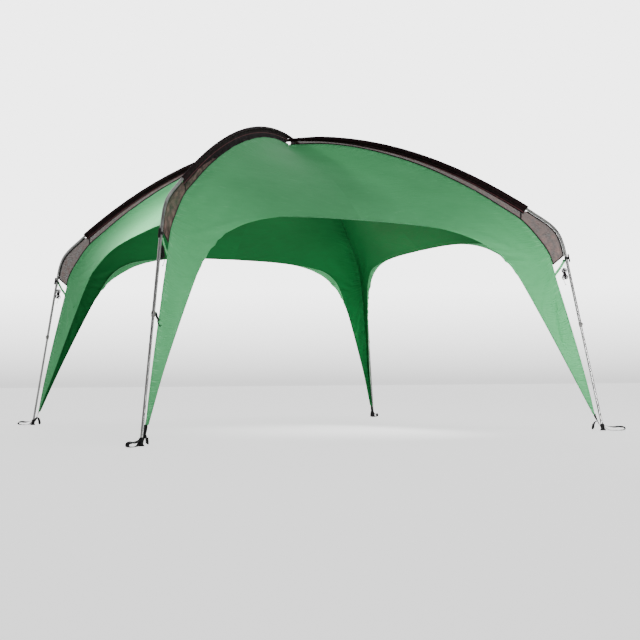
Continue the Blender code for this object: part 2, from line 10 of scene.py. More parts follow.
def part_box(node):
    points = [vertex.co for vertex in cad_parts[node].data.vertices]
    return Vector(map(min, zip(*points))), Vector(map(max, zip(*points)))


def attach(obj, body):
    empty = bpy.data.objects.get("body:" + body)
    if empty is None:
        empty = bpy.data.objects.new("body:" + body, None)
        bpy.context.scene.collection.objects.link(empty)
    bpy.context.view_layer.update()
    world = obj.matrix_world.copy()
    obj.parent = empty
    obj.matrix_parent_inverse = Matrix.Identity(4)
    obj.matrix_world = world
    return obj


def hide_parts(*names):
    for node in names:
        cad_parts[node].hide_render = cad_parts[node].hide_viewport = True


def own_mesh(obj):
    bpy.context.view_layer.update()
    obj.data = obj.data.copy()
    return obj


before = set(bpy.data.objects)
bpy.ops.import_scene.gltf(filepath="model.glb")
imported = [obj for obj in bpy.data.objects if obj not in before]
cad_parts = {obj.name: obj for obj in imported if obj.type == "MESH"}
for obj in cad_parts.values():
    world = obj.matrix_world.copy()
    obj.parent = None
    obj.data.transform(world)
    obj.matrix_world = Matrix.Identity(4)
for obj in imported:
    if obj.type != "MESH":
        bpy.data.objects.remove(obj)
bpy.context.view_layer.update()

# Metres. The corner frame has +X out along the diagonal, so its XZ plane holds pole, leg and seam.
CORNERS = {"front": 225, "right": -45, "back": 45, "left": 135}
ARCHES = {"front_back": ("front", "back"), "left_right": ("left", "right")}
APEX = {"front_back": 2.530, "left_right": 2.500}

FOOT_BASE_R = 0.023
FOOT_R = sqrt(2) * (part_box("foot_right")[1].x - FOOT_BASE_R)
ARCH_END = (2.060, 1.753)
LEG_TOP = (2.333, 1.405)
TUBE_R, TUBE_BORE = 0.011, 0.0098
INNER_R, INNER_BORE = 0.0095, 0.0083
GAP = 0.0003
TUBE_SIDES, COLLAR_SIDES, FOOT_SIDES = 28, 36, 40
SPIGOT = 0.045
UPPER_LEG, OVERLAP, TRAVEL, HOLE_STEP = 0.600, 0.160, 0.200, 0.050
LOCK_AT, HOLE_R = 0.588, 0.0055
COLLAR_TOP, COLLAR_END, COLLAR_R = 0.571, 0.609, 0.0138
BOSS_R, BOSS_FACE, BUTTON_R, BUTTON_BORE_R = 0.0085, 0.0168, 0.0050, 0.0053
BUTTON_BACK, BUTTON_FACE, BUTTON_DOME = 0.0122, 0.0208, 0.0018
FOOT_NECK_R, FOOT_TOP, TUBE_END = 0.0138, 0.052, 0.016
SLEEVE_R, SLEEVE_TAIL, SLEEVE_SHORT, SLEEVE_T = 0.0138, 0.050, 0.018, 0.0006
WEBBING, WEB_T = 0.025, 0.002
CLIP_Z, HANK_Z = 1.352, 1.237

# Ridge seam (distance along the diagonal, height), and opening edge (out, along the face, height).
SEAM = ((0.000, 2.460), (0.32, 2.440), (0.62, 2.383), (0.93, 2.285), (1.25, 2.150),
        (1.60, 1.955), (1.85, 1.785), (2.01, 1.665), (2.14, 1.505), (2.215, 1.380),
        (2.262, 1.200), (2.345, 0.900), (2.425, 0.600), (2.498, 0.300), (2.535, 0.115))
EDGE = ((1.329, 0.00, 1.597), (1.334, 0.43, 1.590), (1.352, 0.80, 1.562),
        (1.380, 1.02, 1.522), (1.418, 1.145, 1.455), (1.445, 1.226, 1.365),
        (1.494, 1.324, 1.189), (1.559, 1.437, 0.946), (1.630, 1.553, 0.680),
        (1.697, 1.656, 0.432), (1.790, 1.771, 0.130))
CROWN_SEAM_R = 1.880         # where the seam meets the line of the opening's crown
FLAP_TOP = 1.310
RELAX_ROWS = (14, 12, 10)    # roof, side, flap
RELAX_COLUMNS, RELAX_ROUNDS = 10, 4000
ROW_STEP = 0.011             # of the finished cloth, along the seam
CLOTH_COLUMNS = 24
CLOTH_T = 0.0008
# Points this near are one: within a corner, between corners, and at the cut for a flap.
SEW, JOIN, SNAP = 1e-5, 2e-5, 0.0015
NET_STEPS = 9

# The view, in the part's frame.
CAMERA_AT = (-3.5541, -7.8793, 0.3873)
CAMERA_YAW, CAMERA_PITCH, CAMERA_ROLL = -0.4542, 0.0619, -0.0063
CAMERA_LENS = 56.29


# ------------------------------------------------------------------ curves
def run_along(points):
    """Distance of each point from the first one, along the path."""
    return np.concatenate([[0], np.cumsum(np.linalg.norm(np.diff(points, axis=0), axis=1))])


def evenly(points, count):
    points = np.asarray(points, float)
    along = run_along(points)
    wanted = np.linspace(0, along[-1], count)
    return np.stack([np.interp(wanted, along, column) for column in points.T], 1)


def catmull_rom(a, b, c, d, t):
    return 0.5 * (2 * b + (c - a) * t + (2 * a - 5 * b + 4 * c - d) * t ** 2
                  + (3 * b - a - 3 * c + d) * t ** 3)


def spline(points, count):
    """Evenly spaced points on a smooth curve through the given points."""
    points = np.array(points, float)
    padded = np.vstack([2 * points[0] - points[1], points, 2 * points[-1] - points[-2]])
    steps = np.linspace(0, 1, 24, endpoint=False)
    dense = [catmull_rom(*padded[k:k + 4], t) for k in range(len(points) - 1) for t in steps]
    return evenly(dense + [points[-1]], count)


def smooth_line(points, step):
    """Points one step apart on a smooth curve through every given point."""
    rough = spline(points, 6 * len(points))
    return spline(points, int(run_along(rough)[-1] / step))


def tangents(path):
    ways = np.gradient(np.asarray(path, float), axis=0)
    return ways / np.linalg.norm(ways, axis=1)[:, None]


def beside(path, offset):
    """A path of the diagonal plane moved by offset to its inner (lower) side."""
    path, ways = np.asarray(path, float), tangents(path)
    return np.stack([path[:, 0] + offset * ways[:, 1], path[:, 1] - offset * ways[:, 0]], 1)


def arch_height(distance, apex):
    return apex - (apex - ARCH_END[1]) * (distance / ARCH_END[0]) ** 2


ARCH_SLOPE = 2 * (APEX["front_back"] - ARCH_END[1]) / ARCH_END[0]
ARCH_FALL = np.array((1, -ARCH_SLOPE)) / sqrt(1 + ARCH_SLOPE ** 2)
LEG_LENGTH = hypot(FOOT_R - LEG_TOP[0], LEG_TOP[1])
LEAN = np.array((FOOT_R - LEG_TOP[0], -LEG_TOP[1])) / LEG_LENGTH
SIDE = np.array((-LEAN[1], LEAN[0]))      # square to the leg, outwards


def along_leg(height):
    return FOOT_R - (FOOT_R - LEG_TOP[0]) * height / LEG_TOP[1]


def leg_point(depth, away=0.0):
    """Point of the diagonal plane, so far down the leg and so far outside its axis."""
    return np.array(LEG_TOP) + LEAN * depth + SIDE * away


def leg_depth(height):
    return (LEG_TOP[1] - height) / -LEAN[1]


def socket_point(back):
    return tuple(np.array(ARCH_END) - ARCH_FALL * back)


def elbow_curve(count):
    a, d = np.array(ARCH_END), np.array(LEG_TOP)
    b, c = a + 0.220 * ARCH_FALL, d - 0.200 * LEAN
    t = np.linspace(0, 1, count)[:, None]
    return (1 - t) ** 3 * a + 3 * t * (1 - t) ** 2 * b + 3 * t ** 2 * (1 - t) * c + t ** 3 * d


def arch_line(apex, count):
    """Centreline of a roof pole from the crossing to its socket."""
    socket = socket_point(SPIGOT + 0.004)
    bent = [(r, arch_height(r, apex)) for r in np.linspace(0.001, socket[0] - 0.10, 40)]
    return evenly(bent + [socket, socket_point(GAP)], count)


def seam_between(first, last, count, lowest=0.0):
    """Even points on the ridge seam between two distances from the middle."""
    seam = spline(SEAM, 1200)
    kept = (seam[:, 0] >= first) & (seam[:, 0] <= last) & (seam[:, 1] > lowest)
    return evenly(seam[kept], count)


def irregular(x, seed):
    """Smooth uneven wave between -1 and 1."""
    return (np.sin(x + seed) + 0.6 * np.sin(1.73 * x + 2.1 * seed + 1)
            + 0.45 * np.sin(2.9 * x + 0.7 * seed + 2)) / 2.05


def full_turn(count):
    """Even angles round a circle."""
    return 2 * pi * np.arange(count) / count


# ------------------------------------------------------------------ meshes
def linked(name, data):
    """New object in the scene."""
    item = bpy.data.objects.new(name, data)
    bpy.context.collection.objects.link(item)
    return item


def mesh_from(work, name):
    mesh = bpy.data.meshes.new(name)
    work.to_mesh(mesh)
    work.free()
    return mesh


def skin(name, rings, wrap=False, caps=True, angle=40):
    """Join rings of points; its UV map is in metres, round the ring and along the rings."""
    rings = np.asarray(rings, float)
    work = bmesh.new()
    layer = work.loops.layers.uv.new("UVMap")
    rows = [[work.verts.new(point) for point in ring] for ring in rings]
    along = run_along(rings.mean(1))
    around = run_along(np.vstack([rings[0], rings[0][:1]]))
    size = len(rings[0])
    for index in range(len(rows) if wrap else len(rows) - 1):
        one, two = rows[index], rows[(index + 1) % len(rows)]
        v1 = along[index]
        v2 = along[index + 1] if index + 1 < len(rows) else v1 + 0.001
        for k in range(size):
            after = (k + 1) % size
            face = work.faces.new((one[k], one[after], two[after], two[k]))
            spots = ((around[k], v1), (around[k + 1], v1), (around[k + 1], v2), (around[k], v2))
            for corner, spot in zip(face.loops, spots):
                corner[layer].uv = spot
    if caps and not wrap:
        for row in (rows[0][::-1], rows[-1]):
            for corner in work.faces.new(row).loops:
                corner[layer].uv = (corner.vert.co.y, corner.vert.co.x)
    bmesh.ops.recalc_face_normals(work, faces=work.faces)
    mesh = mesh_from(work, name)
    mesh.shade_smooth()
    mesh.set_sharp_from_angle(angle=radians(angle))
    return mesh


def placed(centre, way, across, up):
    """Section put at a point of the diagonal plane, square to the way given."""
    return np.stack([centre[0] - way[1] * up, across, centre[1] + way[0] * up], 1)


def ring_at(centre, way, radius, sides=TUBE_SIDES):
    angle = full_turn(sides)
    return placed(centre, way, radius * np.sin(angle), radius * np.cos(angle))


def tube(name, path, outer, bore):
    """Hollow tube with eased rims along a path of the diagonal plane."""
    path = np.asarray(path, float)
    outer = np.broadcast_to(outer, len(path))
    ways = tangents(path)
    ease = 0.0003
    outside = [ring_at(p, w, r) for p, w, r in zip(path, ways, outer)]
    outside[0] = ring_at(path[0] + ways[0] * ease, ways[0], outer[0])
    outside[-1] = ring_at(path[-1] - ways[-1] * ease, ways[-1], outer[-1])
    rims = [ring_at(path[end], ways[end], outer[end] - ease) for end in (0, -1)]
    inside = [ring_at(p, w, bore) for p, w in zip(path, ways)]
    return skin(name, rims[:1] + outside + rims[1:] + inside[::-1], wrap=True)


def peg(name, steps, depth, angle=40):
    """Round peg that points outwards from the leg: (distance from the axis, radius) steps."""
    turn = full_turn(TUBE_SIDES)
    across, down = np.cos(turn), np.sin(turn)
    return skin(name, [placed(leg_point(depth, away), -SIDE, radius * across, radius * down)
                       for away, radius in steps], angle=angle)


def ribbon(name, path, width, thickness, cup, twist):
    """Flat strap with rounded selvedges; its width lies across the diagonal plane, until twisted."""
    half, deep = width / 2, thickness / 2
    across = [-half, -half + 0.4 * deep, -half + 1.6 * deep, 0]
    across += [-a for a in across[-2::-1]]
    rise = [0, 0.75, 1, 1, 1, 0.75, 0]
    a = np.array(across + across[-2:0:-1])
    h = deep * np.array(rise + [-r for r in rise[-2:0:-1]]) + cup * (a / half) ** 2
    turns = np.radians(twist)
    return skin(name, [placed(spot, way, a * cos(turn) - h * sin(turn), h * cos(turn) + a * sin(turn))
                       for spot, way, turn in zip(path, tangents(path), turns)])


def tape(name, line, width, thickness, shift=0.0):
    """Flat tape whose width lies in the diagonal plane, beside a line."""
    line = beside(line, shift)
    half, deep = width / 2, thickness / 2
    wide = np.array((-half, -half + 0.6 * deep, 0, half - 0.6 * deep, half))
    thick = np.array((0.4, 1, 1.12, 1, 0.4)) * deep
    up, across = np.append(wide, wide[::-1]), np.append(thick, -thick)
    return skin(name, [placed(spot, way, across, up) for spot, way in zip(line, tangents(line))])


def round_tube(name, path, radius, sides=10, closed=False):
    """Mesh tube along any path in space, turned as little as possible from ring to ring."""
    path = np.asarray(path, float)
    ways = np.roll(path, -1, 0) - np.roll(path, 1, 0) if closed else np.gradient(path, axis=0)
    ways /= np.linalg.norm(ways, axis=1)[:, None]
    up = np.cross(ways[0], (0.31, 0.22, 0.92))
    up /= np.linalg.norm(up)
    angle = full_turn(sides)[:, None]
    rings = []
    for centre, way, size in zip(path, ways, np.broadcast_to(radius, len(path))):
        up = up - way * np.dot(up, way)
        up /= np.linalg.norm(up)
        rings.append(centre + size * (np.cos(angle) * up + np.sin(angle) * np.cross(way, up)))
    return skin(name, rings, wrap=closed)


def squared(wave, power):
    """Cosines or sines of a turn, pushed outwards for a rounded rectangle."""
    return np.sign(wave) * abs(wave) ** power


def trefoil(centre, size, count=48):
    t = full_turn(count)
    return np.stack([centre[0] + size * (np.sin(t) + 2 * np.sin(2 * t)) / 3,
                     centre[1] + size * (np.cos(t) - 2 * np.cos(2 * t)) / 3,
                     centre[2] - size * 0.6 * np.sin(3 * t)], 1)


def sheet_faces(work, uv, verts, spots, flip=False):
    """Faces between rows of vertices, with their UV places."""
    for i in range(len(verts) - 1):
        for j in range(len(verts[0]) - 1):
            cells = ((i, j), (i, j + 1), (i + 1, j + 1), (i + 1, j))
            if flip:
                cells = cells[::-1]
            face = work.faces.new([verts[a][b] for a, b in cells])
            for loop, (a, b) in zip(face.loops, cells):
                loop[uv].uv = spots[a][b]


def boolean(mesh, cutter, operation):
    """Mesh cut by or joined with another one."""
    one, two = linked("work_piece", mesh), linked("work_cutter", cutter)
    step = one.modifiers.new("cut", "BOOLEAN")
    step.operation, step.object, step.solver = operation, two, "EXACT"
    made = evaluated_mesh(one)
    made.name = mesh.name
    for item in (one, two):
        bpy.data.objects.remove(item)
    made.shade_smooth()
    made.set_sharp_from_angle(angle=radians(35))
    return made


def evaluated_mesh(item):
    return bpy.data.meshes.new_from_object(item.evaluated_get(bpy.context.evaluated_depsgraph_get()))


def thicken(item, thickness=CLOTH_T):
    """Give cloth its thickness inwards; a second material goes on its inner side."""
    step = item.modifiers.new("thickness", "SOLIDIFY")
    step.thickness, step.offset, step.use_even_offset = thickness, -1, False
    step.material_offset = len(item.data.materials) - 1
    data = evaluated_mesh(item)
    item.modifiers.clear()
    item.data = data
    data.name = item.name


def piece(name, mesh, looks, angle=0, replaced=(), body="canopy_frame"):
    """Put a copy of a mesh of the corner frame in the scene, riding on a body."""
    data = mesh.copy()
    data.name = name
    data.transform(Matrix.Rotation(radians(angle), 4, "Z"))
    data.materials.clear()
    for look in looks:
        data.materials.append(LOOKS[look])
    item = linked(name, data)
    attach(item, body)
    if replaced:
        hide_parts(*replaced)
    return item


def corner_piece(name, mesh, look, corner, node="", body="canopy_frame"):
    """One corner's own piece, which may stand for that corner's CAD node."""
    replaced = [node + "_" + corner] if node else []
    return piece(name + "_" + corner, mesh, [look], CORNERS[corner], replaced, body)


# --------------------------------------------------------------- materials
def add(tree, kind, wires=(), **settings):
    made = tree.nodes.new("ShaderNode" + kind)
    for key, value in settings.items():
        setattr(made, key, value)
    for key, value in dict(wires).items():
        if isinstance(value, bpy.types.NodeSocket):
            tree.links.new(value, made.inputs[key])
        else:
            made.inputs[key].default_value = value
    return made


def maths(tree, operation, a, b=0.0):
    return add(tree, "Math", {0: a, 1: b}, operation=operation).outputs[0]


def times(tree, a, b):
    return maths(tree, "MULTIPLY", a, b)


def mixed(tree, share, a, b):
    return add(tree, "Mix", {0: share, 6: a, 7: b}, data_type="RGBA").outputs[2]


def spread(tree, value, low, high, out_low=0.0, out_high=1.0):
    return add(tree, "MapRange", {"Value": value, "From Min": low, "From Max": high,
                                  "To Min": out_low, "To Max": out_high}).outputs[0]


def toned(tree, tint, other, value, low, high, most=1.0):
    """Tint that turns to another one, at most so far, as a value goes from low to high."""
    return mixed(tree, spread(tree, value, low, high, 0.0, most), tint, other)


def noise(tree, where, scale, detail=3.0, rough=0.5, stretch=None):
    """Noise between 0 and 1, over places that may be stretched first."""
    if stretch:
        where = stretched(tree, where, stretch)
    return add(tree, "TexNoise", {"Vector": where, "Scale": scale, "Detail": detail,
                                  "Roughness": rough}).outputs[0]


def stretched(tree, where, scale):
    return add(tree, "Mapping", {"Vector": where, "Scale": scale}).outputs[0]


def threads(tree, where, pitch, direction):
    """Bands one pitch apart, between 0 and 1."""
    return add(tree, "TexWave", {"Vector": where, "Scale": 2 * pi / 20 / pitch}, wave_type="BANDS",
               bands_direction=direction, wave_profile="SIN").outputs[1]


def woven(tree, where, pitch):
    return times(tree, threads(tree, where, pitch, "X"), threads(tree, where, pitch, "Y"))


def bump(tree, *steps):
    """Normal from steps of (height, distance, strength), each on top of the one before."""
    normal = None
    for height, distance, strength in steps:
        wires = {"Height": height, "Distance": distance, "Strength": strength}
        if normal:
            wires["Normal"] = normal
        normal = add(tree, "Bump", wires).outputs[0]
    return normal


def blank(name, **values):
    """A material with its Principled shader, whose constant values are set by name."""
    made = bpy.data.materials.new(name)
    made.use_nodes = True
    shader = made.node_tree.nodes["Principled BSDF"]
    for key, value in values.items():
        socket = shader.inputs[key.replace("_", " ")]
        socket.default_value = (*value, 1) if isinstance(value, tuple) else value
    return made, made.node_tree, shader


def feed(tree, shader, **wires):
    """Link what varies over the surface to the shader's inputs, by name."""
    for key, value in wires.items():
        tree.links.new(value, shader.inputs[key.replace("_", " ")])


def show(tree, share, one, two):
    """Show a mix of two shaders."""
    both = add(tree, "MixShader", {0: share, 1: one.outputs[0], 2: two.outputs[0]})
    tree.links.new(both.outputs[0], tree.nodes["Material Output"].inputs["Surface"])


def metres(tree):
    """The mesh's UV map, which is in metres."""
    return add(tree, "UVMap", uv_map="UVMap").outputs[0]


def colour(r, g, b):
    """Linear colour with alpha from 0-255 display values."""
    return tuple((v / 255 / 12.92 if v < 10 else ((v / 255 + 0.055) / 1.055) ** 2.4)
                 for v in (r, g, b)) + (1,)


def attribute(tree, name):
    return add(tree, "Attribute", attribute_name=name).outputs["Fac"]


def band(tree, value, low, high):
    """1 where a distance lies between low and high, with soft ends."""
    soft = 0.0006
    return times(tree, spread(tree, value, low - soft, low + soft),
                 spread(tree, value, high - soft, high + soft, 1.0, 0.0))


def cloth_look(name, main, painted_highlight, deep, through, shine, rim):
    """Coated polyester: fine weave, creasing with painted highlights on crease crests and puckers, sewn
    seams and hems with a painted edge line, light from behind.
    """
    made, tree, shader = blank(name, Roughness=0.5, Specular_IOR_Level=shine)
    where = metres(tree)
    broad = noise(tree, where, 2.3, 4.0)
    fine = noise(tree, where, 9.0, 6.0, 0.6, (1, 3, 1))
    creases = noise(tree, where, 3.0, 4.0, 0.55, (3.2, 17, 1))
    shade = maths(tree, "ADD", times(tree, broad, 0.6), times(tree, fine, 0.4))
    tint = toned(tree, deep, main, shade, 0.32, 0.68)
    # painted highlight: crease crests made paler
    tint = toned(tree, tint, painted_highlight, creases, 0.60, 0.78, 0.35)
    weave = woven(tree, where, 0.0016)
    tint = mixed(tree, spread(tree, weave, 0.0, 1.0, 0.06, 0.0), tint, deep)
    from_edge, from_seam = attribute(tree, "from_edge"), attribute(tree, "from_seam")
    hem, felled = band(tree, from_edge, -0.01, 0.018), band(tree, from_seam, -0.01, 0.013)
    doubled = maths(tree, "MAXIMUM", hem, felled)
    dashes = spread(tree, threads(tree, where, 0.0038, "DIAGONAL"), 0.35, 0.5)
    seam_lines = maths(tree, "MAXIMUM", band(tree, from_seam, 0.0020, 0.0032),
                       band(tree, from_seam, 0.0100, 0.0112))
    lines = maths(tree, "MAXIMUM", band(tree, from_edge, 0.0150, 0.0163), seam_lines)
    stitches = times(tree, lines, dashes)
    tint = mixed(tree, times(tree, doubled, 0.30), tint, deep)
    # painted edge line along the opening's hem: painted highlight on the canopy outside, painted shade
    # on the flaps and the inner side
    tint = mixed(tree, band(tree, from_edge, -0.01, 0.0055), tint, rim)
    tint = mixed(tree, times(tree, stitches, 0.55), tint, colour(20, 60, 34))
    gathered = maths(tree, "MAXIMUM", spread(tree, from_seam, 0.03, 0.19, 1.0, 0.0),
                     spread(tree, from_edge, 0.018, 0.07, 0.6, 0.0))
    puckers = times(tree, noise(tree, where, 1.4, 2.0, stretch=(8, 60, 1)), gathered)
    # painted highlight: puckers near seams and hems made paler, for bright streaks on their wrinkles
    tint = toned(tree, tint, painted_highlight, puckers, 0.50, 0.72, 0.7)
    sewn = maths(tree, "SUBTRACT", doubled, times(tree, stitches, 0.8))
    ridges = bump(tree, (creases, 0.004, 0.5), (puckers, 0.010, 1.0), (sewn, 0.0012, 0.9),
                  (weave, 0.00008, 0.6))
    feed(tree, shader, Base_Color=tint, Normal=ridges,
         Roughness=spread(tree, fine, 0.2, 0.8, 0.50, 0.66))
    show(tree, through, shader, add(tree, "BsdfTranslucent", {"Color": tint, "Normal": ridges}))
    return made


def sleeve_look():
    """Dark pole sleeve: heavy weave, dusty folds, a painted highlight along the fold of its lower edge.
    """
    made, tree, shader = blank("sleeve_cloth", Roughness=0.85, Specular_IOR_Level=0.06)
    where = metres(tree)
    folds = noise(tree, where, 2.0, 5.0, 0.6, (5, 22, 1))
    dust = noise(tree, where, 30, 5.0, 0.65)
    tint = toned(tree, colour(9, 3, 4), colour(30, 14, 17), folds, 0.42, 0.72)
    tint = toned(tree, tint, colour(52, 36, 38), dust, 0.5, 0.85, 0.3)
    drop = attribute(tree, "drop")
    # painted highlight: a paler band along the tail's fold
    painted_fold_highlight = times(tree, band(tree, drop, 0.0345, 0.0385), 0.6)
    tint = mixed(tree, painted_fold_highlight, tint, colour(104, 62, 66))
    tint = mixed(tree, band(tree, drop, 0.0440, 0.0900), tint, colour(9, 3, 5))
    stitches = times(tree, band(tree, drop, 0.0185, 0.0196),
                     spread(tree, threads(tree, where, 0.004, "Y"), 0.35, 0.5))
    tint = mixed(tree, times(tree, stitches, 0.6), tint, colour(95, 80, 80))
    feed(tree, shader, Base_Color=tint, Roughness=spread(tree, dust, 0.2, 0.8, 0.62, 0.85),
         Normal=bump(tree, (folds, 0.005, 0.7), (woven(tree, where, 0.0022), 0.00025, 0.8),
                     (stitches, -0.0008, 0.8)))
    return made


def net_look():
    """Knitted netting: see-through holes between threads, with drawn creases."""
    made, tree, shader = blank("netting", Roughness=0.85, Specular_IOR_Level=0.05)
    where = metres(tree)
    cells = add(tree, "TexVoronoi", {"Vector": where, "Scale": 420.0, "Randomness": 0.15},
                feature="DISTANCE_TO_EDGE").outputs[0]
    thread = spread(tree, cells, 0.13, 0.20, 1.0, 0.0)
    creases = noise(tree, where, 2.6, 6.0, 0.62, (9, 5, 1))
    fine = noise(tree, where, 46, 5.0, 0.6)
    tint = toned(tree, colour(42, 36, 33), colour(100, 80, 76), creases, 0.36, 0.66)
    tint = toned(tree, tint, colour(26, 18, 20), fine, 0.5, 0.8, 0.5)
    feed(tree, shader, Base_Color=tint,
         Normal=bump(tree, (creases, 0.006, 0.8), (thread, 0.0003, 0.6)))
    solid = maths(tree, "MAXIMUM", thread, spread(tree, creases, 0.3, 0.7, 0.92, 0.98))
    show(tree, solid, add(tree, "BsdfTransparent"), shader)
    return made


def metal_look():
    """Drawn and lacquered steel tube: fine streaks along it, small scuffs."""
    made, tree, shader = blank("pole_steel", Metallic=1.0, Roughness=0.3, Coat_Weight=0.15,
                               Coat_Roughness=0.12)
    where = metres(tree)
    streaks = noise(tree, where, 1.0, 5.0, 0.6, (600, 7, 1))
    patches = noise(tree, where, 14, 4.0, 0.55)
    scuffs = noise(tree, where, 1.0, 3.0, 0.5, (90, 260, 1))
    tint = toned(tree, colour(96, 95, 94), colour(134, 134, 134), patches, 0.3, 0.7)
    tint = toned(tree, tint, colour(70, 68, 66), scuffs, 0.66, 0.74, 0.5)
    rough = maths(tree, "ADD", spread(tree, streaks, 0.3, 0.7, 0.27, 0.40),
                  spread(tree, scuffs, 0.62, 0.74, 0.0, 0.18))
    feed(tree, shader, Base_Color=tint, Roughness=rough, Normal=bump(tree, (streaks, 0.00006, 0.5)))
    return made


def plastic_look(name, dark, light, rough):
    """Moulded nylon with a fine spark texture and rubbed high spots."""
    made, tree, shader = blank(name, Roughness=rough, Specular_IOR_Level=0.15)
    where = add(tree, "TexCoord").outputs["Object"]
    spark = noise(tree, where, 900, 2.0, 0.5)
    patches = noise(tree, where, 45, 4.0, 0.6)
    tint = toned(tree, dark, light, patches, 0.35, 0.75)
    rubbed = add(tree, "NewGeometry").outputs["Pointiness"]
    tint = toned(tree, tint, colour(60, 60, 62), rubbed, 0.54, 0.66, 0.3)
    feed(tree, shader, Base_Color=tint, Normal=bump(tree, (spark, 0.00012, 0.5)),
         Roughness=spread(tree, patches, 0.3, 0.7, rough - 0.08, rough + 0.12))
    return made


def webbing_look(name, dark, light):
    """Woven polypropylene tape: diagonal ribs, ridged selvedges, a little fuzz."""
    made, tree, shader = blank(name, Roughness=0.75, Specular_IOR_Level=0.12)
    where = metres(tree)
    height = maths(tree, "ADD", times(tree, threads(tree, where, 0.0022, "DIAGONAL"), 0.6),
                   times(tree, threads(tree, where, 0.0017, "Y"), 0.4))
    fuzz = noise(tree, where, 160, 4.0, 0.6)
    tint = toned(tree, dark, light, height, 0.3, 0.9)
    tint = toned(tree, tint, light, fuzz, 0.55, 0.8, 0.35)
    feed(tree, shader, Base_Color=tint, Roughness=spread(tree, fuzz, 0.3, 0.7, 0.58, 0.82),
         Normal=bump(tree, (height, 0.0005, 0.8)))
    return made


def cord_look():
    """Braided cord: two families of strands, laid diagonally."""
    made, tree, shader = blank("braided_cord", Roughness=0.75, Specular_IOR_Level=0.12)
    where = add(tree, "TexCoord").outputs["Object"]
    height = maths(tree, "MAXIMUM", threads(tree, where, 0.0021, "DIAGONAL"),
                   threads(tree, stretched(tree, where, (-1, 1, 1)), 0.0021, "DIAGONAL"))
    tint = toned(tree, colour(6, 5, 6), colour(26, 23, 25), height, 0.3, 1.0)
    flecks = noise(tree, where, 320, 2.0, 0.5)
    tint = toned(tree, tint, colour(96, 90, 92), flecks, 0.62, 0.72, 0.5)
    feed(tree, shader, Base_Color=tint, Normal=bump(tree, (height, 0.0004, 0.8)))
    return made


OUTSIDE = (colour(84, 172, 112), colour(112, 194, 138), colour(72, 156, 98), 0.30, 0.14)
# painted shade: the inner side of the same cloth made darker, for the shade under the roof
INSIDE_PAINTED_SHADE = (colour(28, 100, 50), colour(36, 112, 60), colour(22, 88, 42), 0.10, 0.05)
LOOKS = {
    # last colour of each: painted edge line, a painted highlight on the canopy, painted shade on the
    # flaps and the inner side
    "outer": cloth_look("canopy_outer_painted_edge_highlight", *OUTSIDE, colour(120, 200, 146)),
    "flap": cloth_look("flap_outer_painted_edge_shade", *OUTSIDE, colour(22, 66, 40)),
    "inner": cloth_look("canopy_inner_painted_shade", *INSIDE_PAINTED_SHADE, colour(16, 66, 34)),
    "sleeve": sleeve_look(),
    "net": net_look(),
    "metal": metal_look(),
    "plastic": plastic_look("black_nylon", colour(8, 8, 9), colour(17, 17, 18), 0.55),
    "grey": plastic_look("grey_nylon", colour(84, 83, 82), colour(112, 110, 108), 0.42),
    "button": plastic_look("button_nylon", colour(12, 12, 13), colour(28, 28, 30), 0.4),
    "webbing": webbing_look("black_tape", colour(6, 6, 7), colour(26, 25, 26)),
    "binding": webbing_look("binding_tape", colour(5, 4, 5), colour(22, 17, 19)),
    # painted shade: the tab's knot is the same tape as the tab, made darker green
    "knot": webbing_look("green_tape_painted_shade", colour(10, 48, 22), colour(30, 92, 50)),
    "green_tape": webbing_look("green_tape", colour(40, 112, 62), colour(112, 186, 132)),
    "cord": cord_look(),
}


# ------------------------------------------------------------------ camera
def aim_camera():
    yaw, pitch, roll = CAMERA_YAW, CAMERA_PITCH, CAMERA_ROLL
    ahead = Vector((-sin(yaw) * cos(pitch), cos(yaw) * cos(pitch), sin(pitch)))
    level = Vector((cos(yaw), sin(yaw), 0))
    up = level.cross(ahead)
    right = level * cos(roll) + up * sin(roll)
    top = up * cos(roll) - level * sin(roll)
    data = bpy.data.cameras.new("photo_camera")
    data.lens, data.sensor_width, data.clip_end = CAMERA_LENS, 36.0, 500
    camera = linked("photo_camera", data)
    matrix = Matrix((right, top, -ahead)).transposed().to_4x4()
    matrix.translation = CAMERA_AT
    camera.matrix_world = matrix
    bpy.context.scene.camera = camera


# ------------------------------------------------------------------- cords
CORD_D, CORD_LENGTH = 0.003, 3.00
HANK_TURNS, HANK_HALF, HANK_LAYER, HANK_BEND = 13, 0.0460, 0.0018, 0.0125
STEPS_PER_TURN, WRAP_STEPS = 28, 52


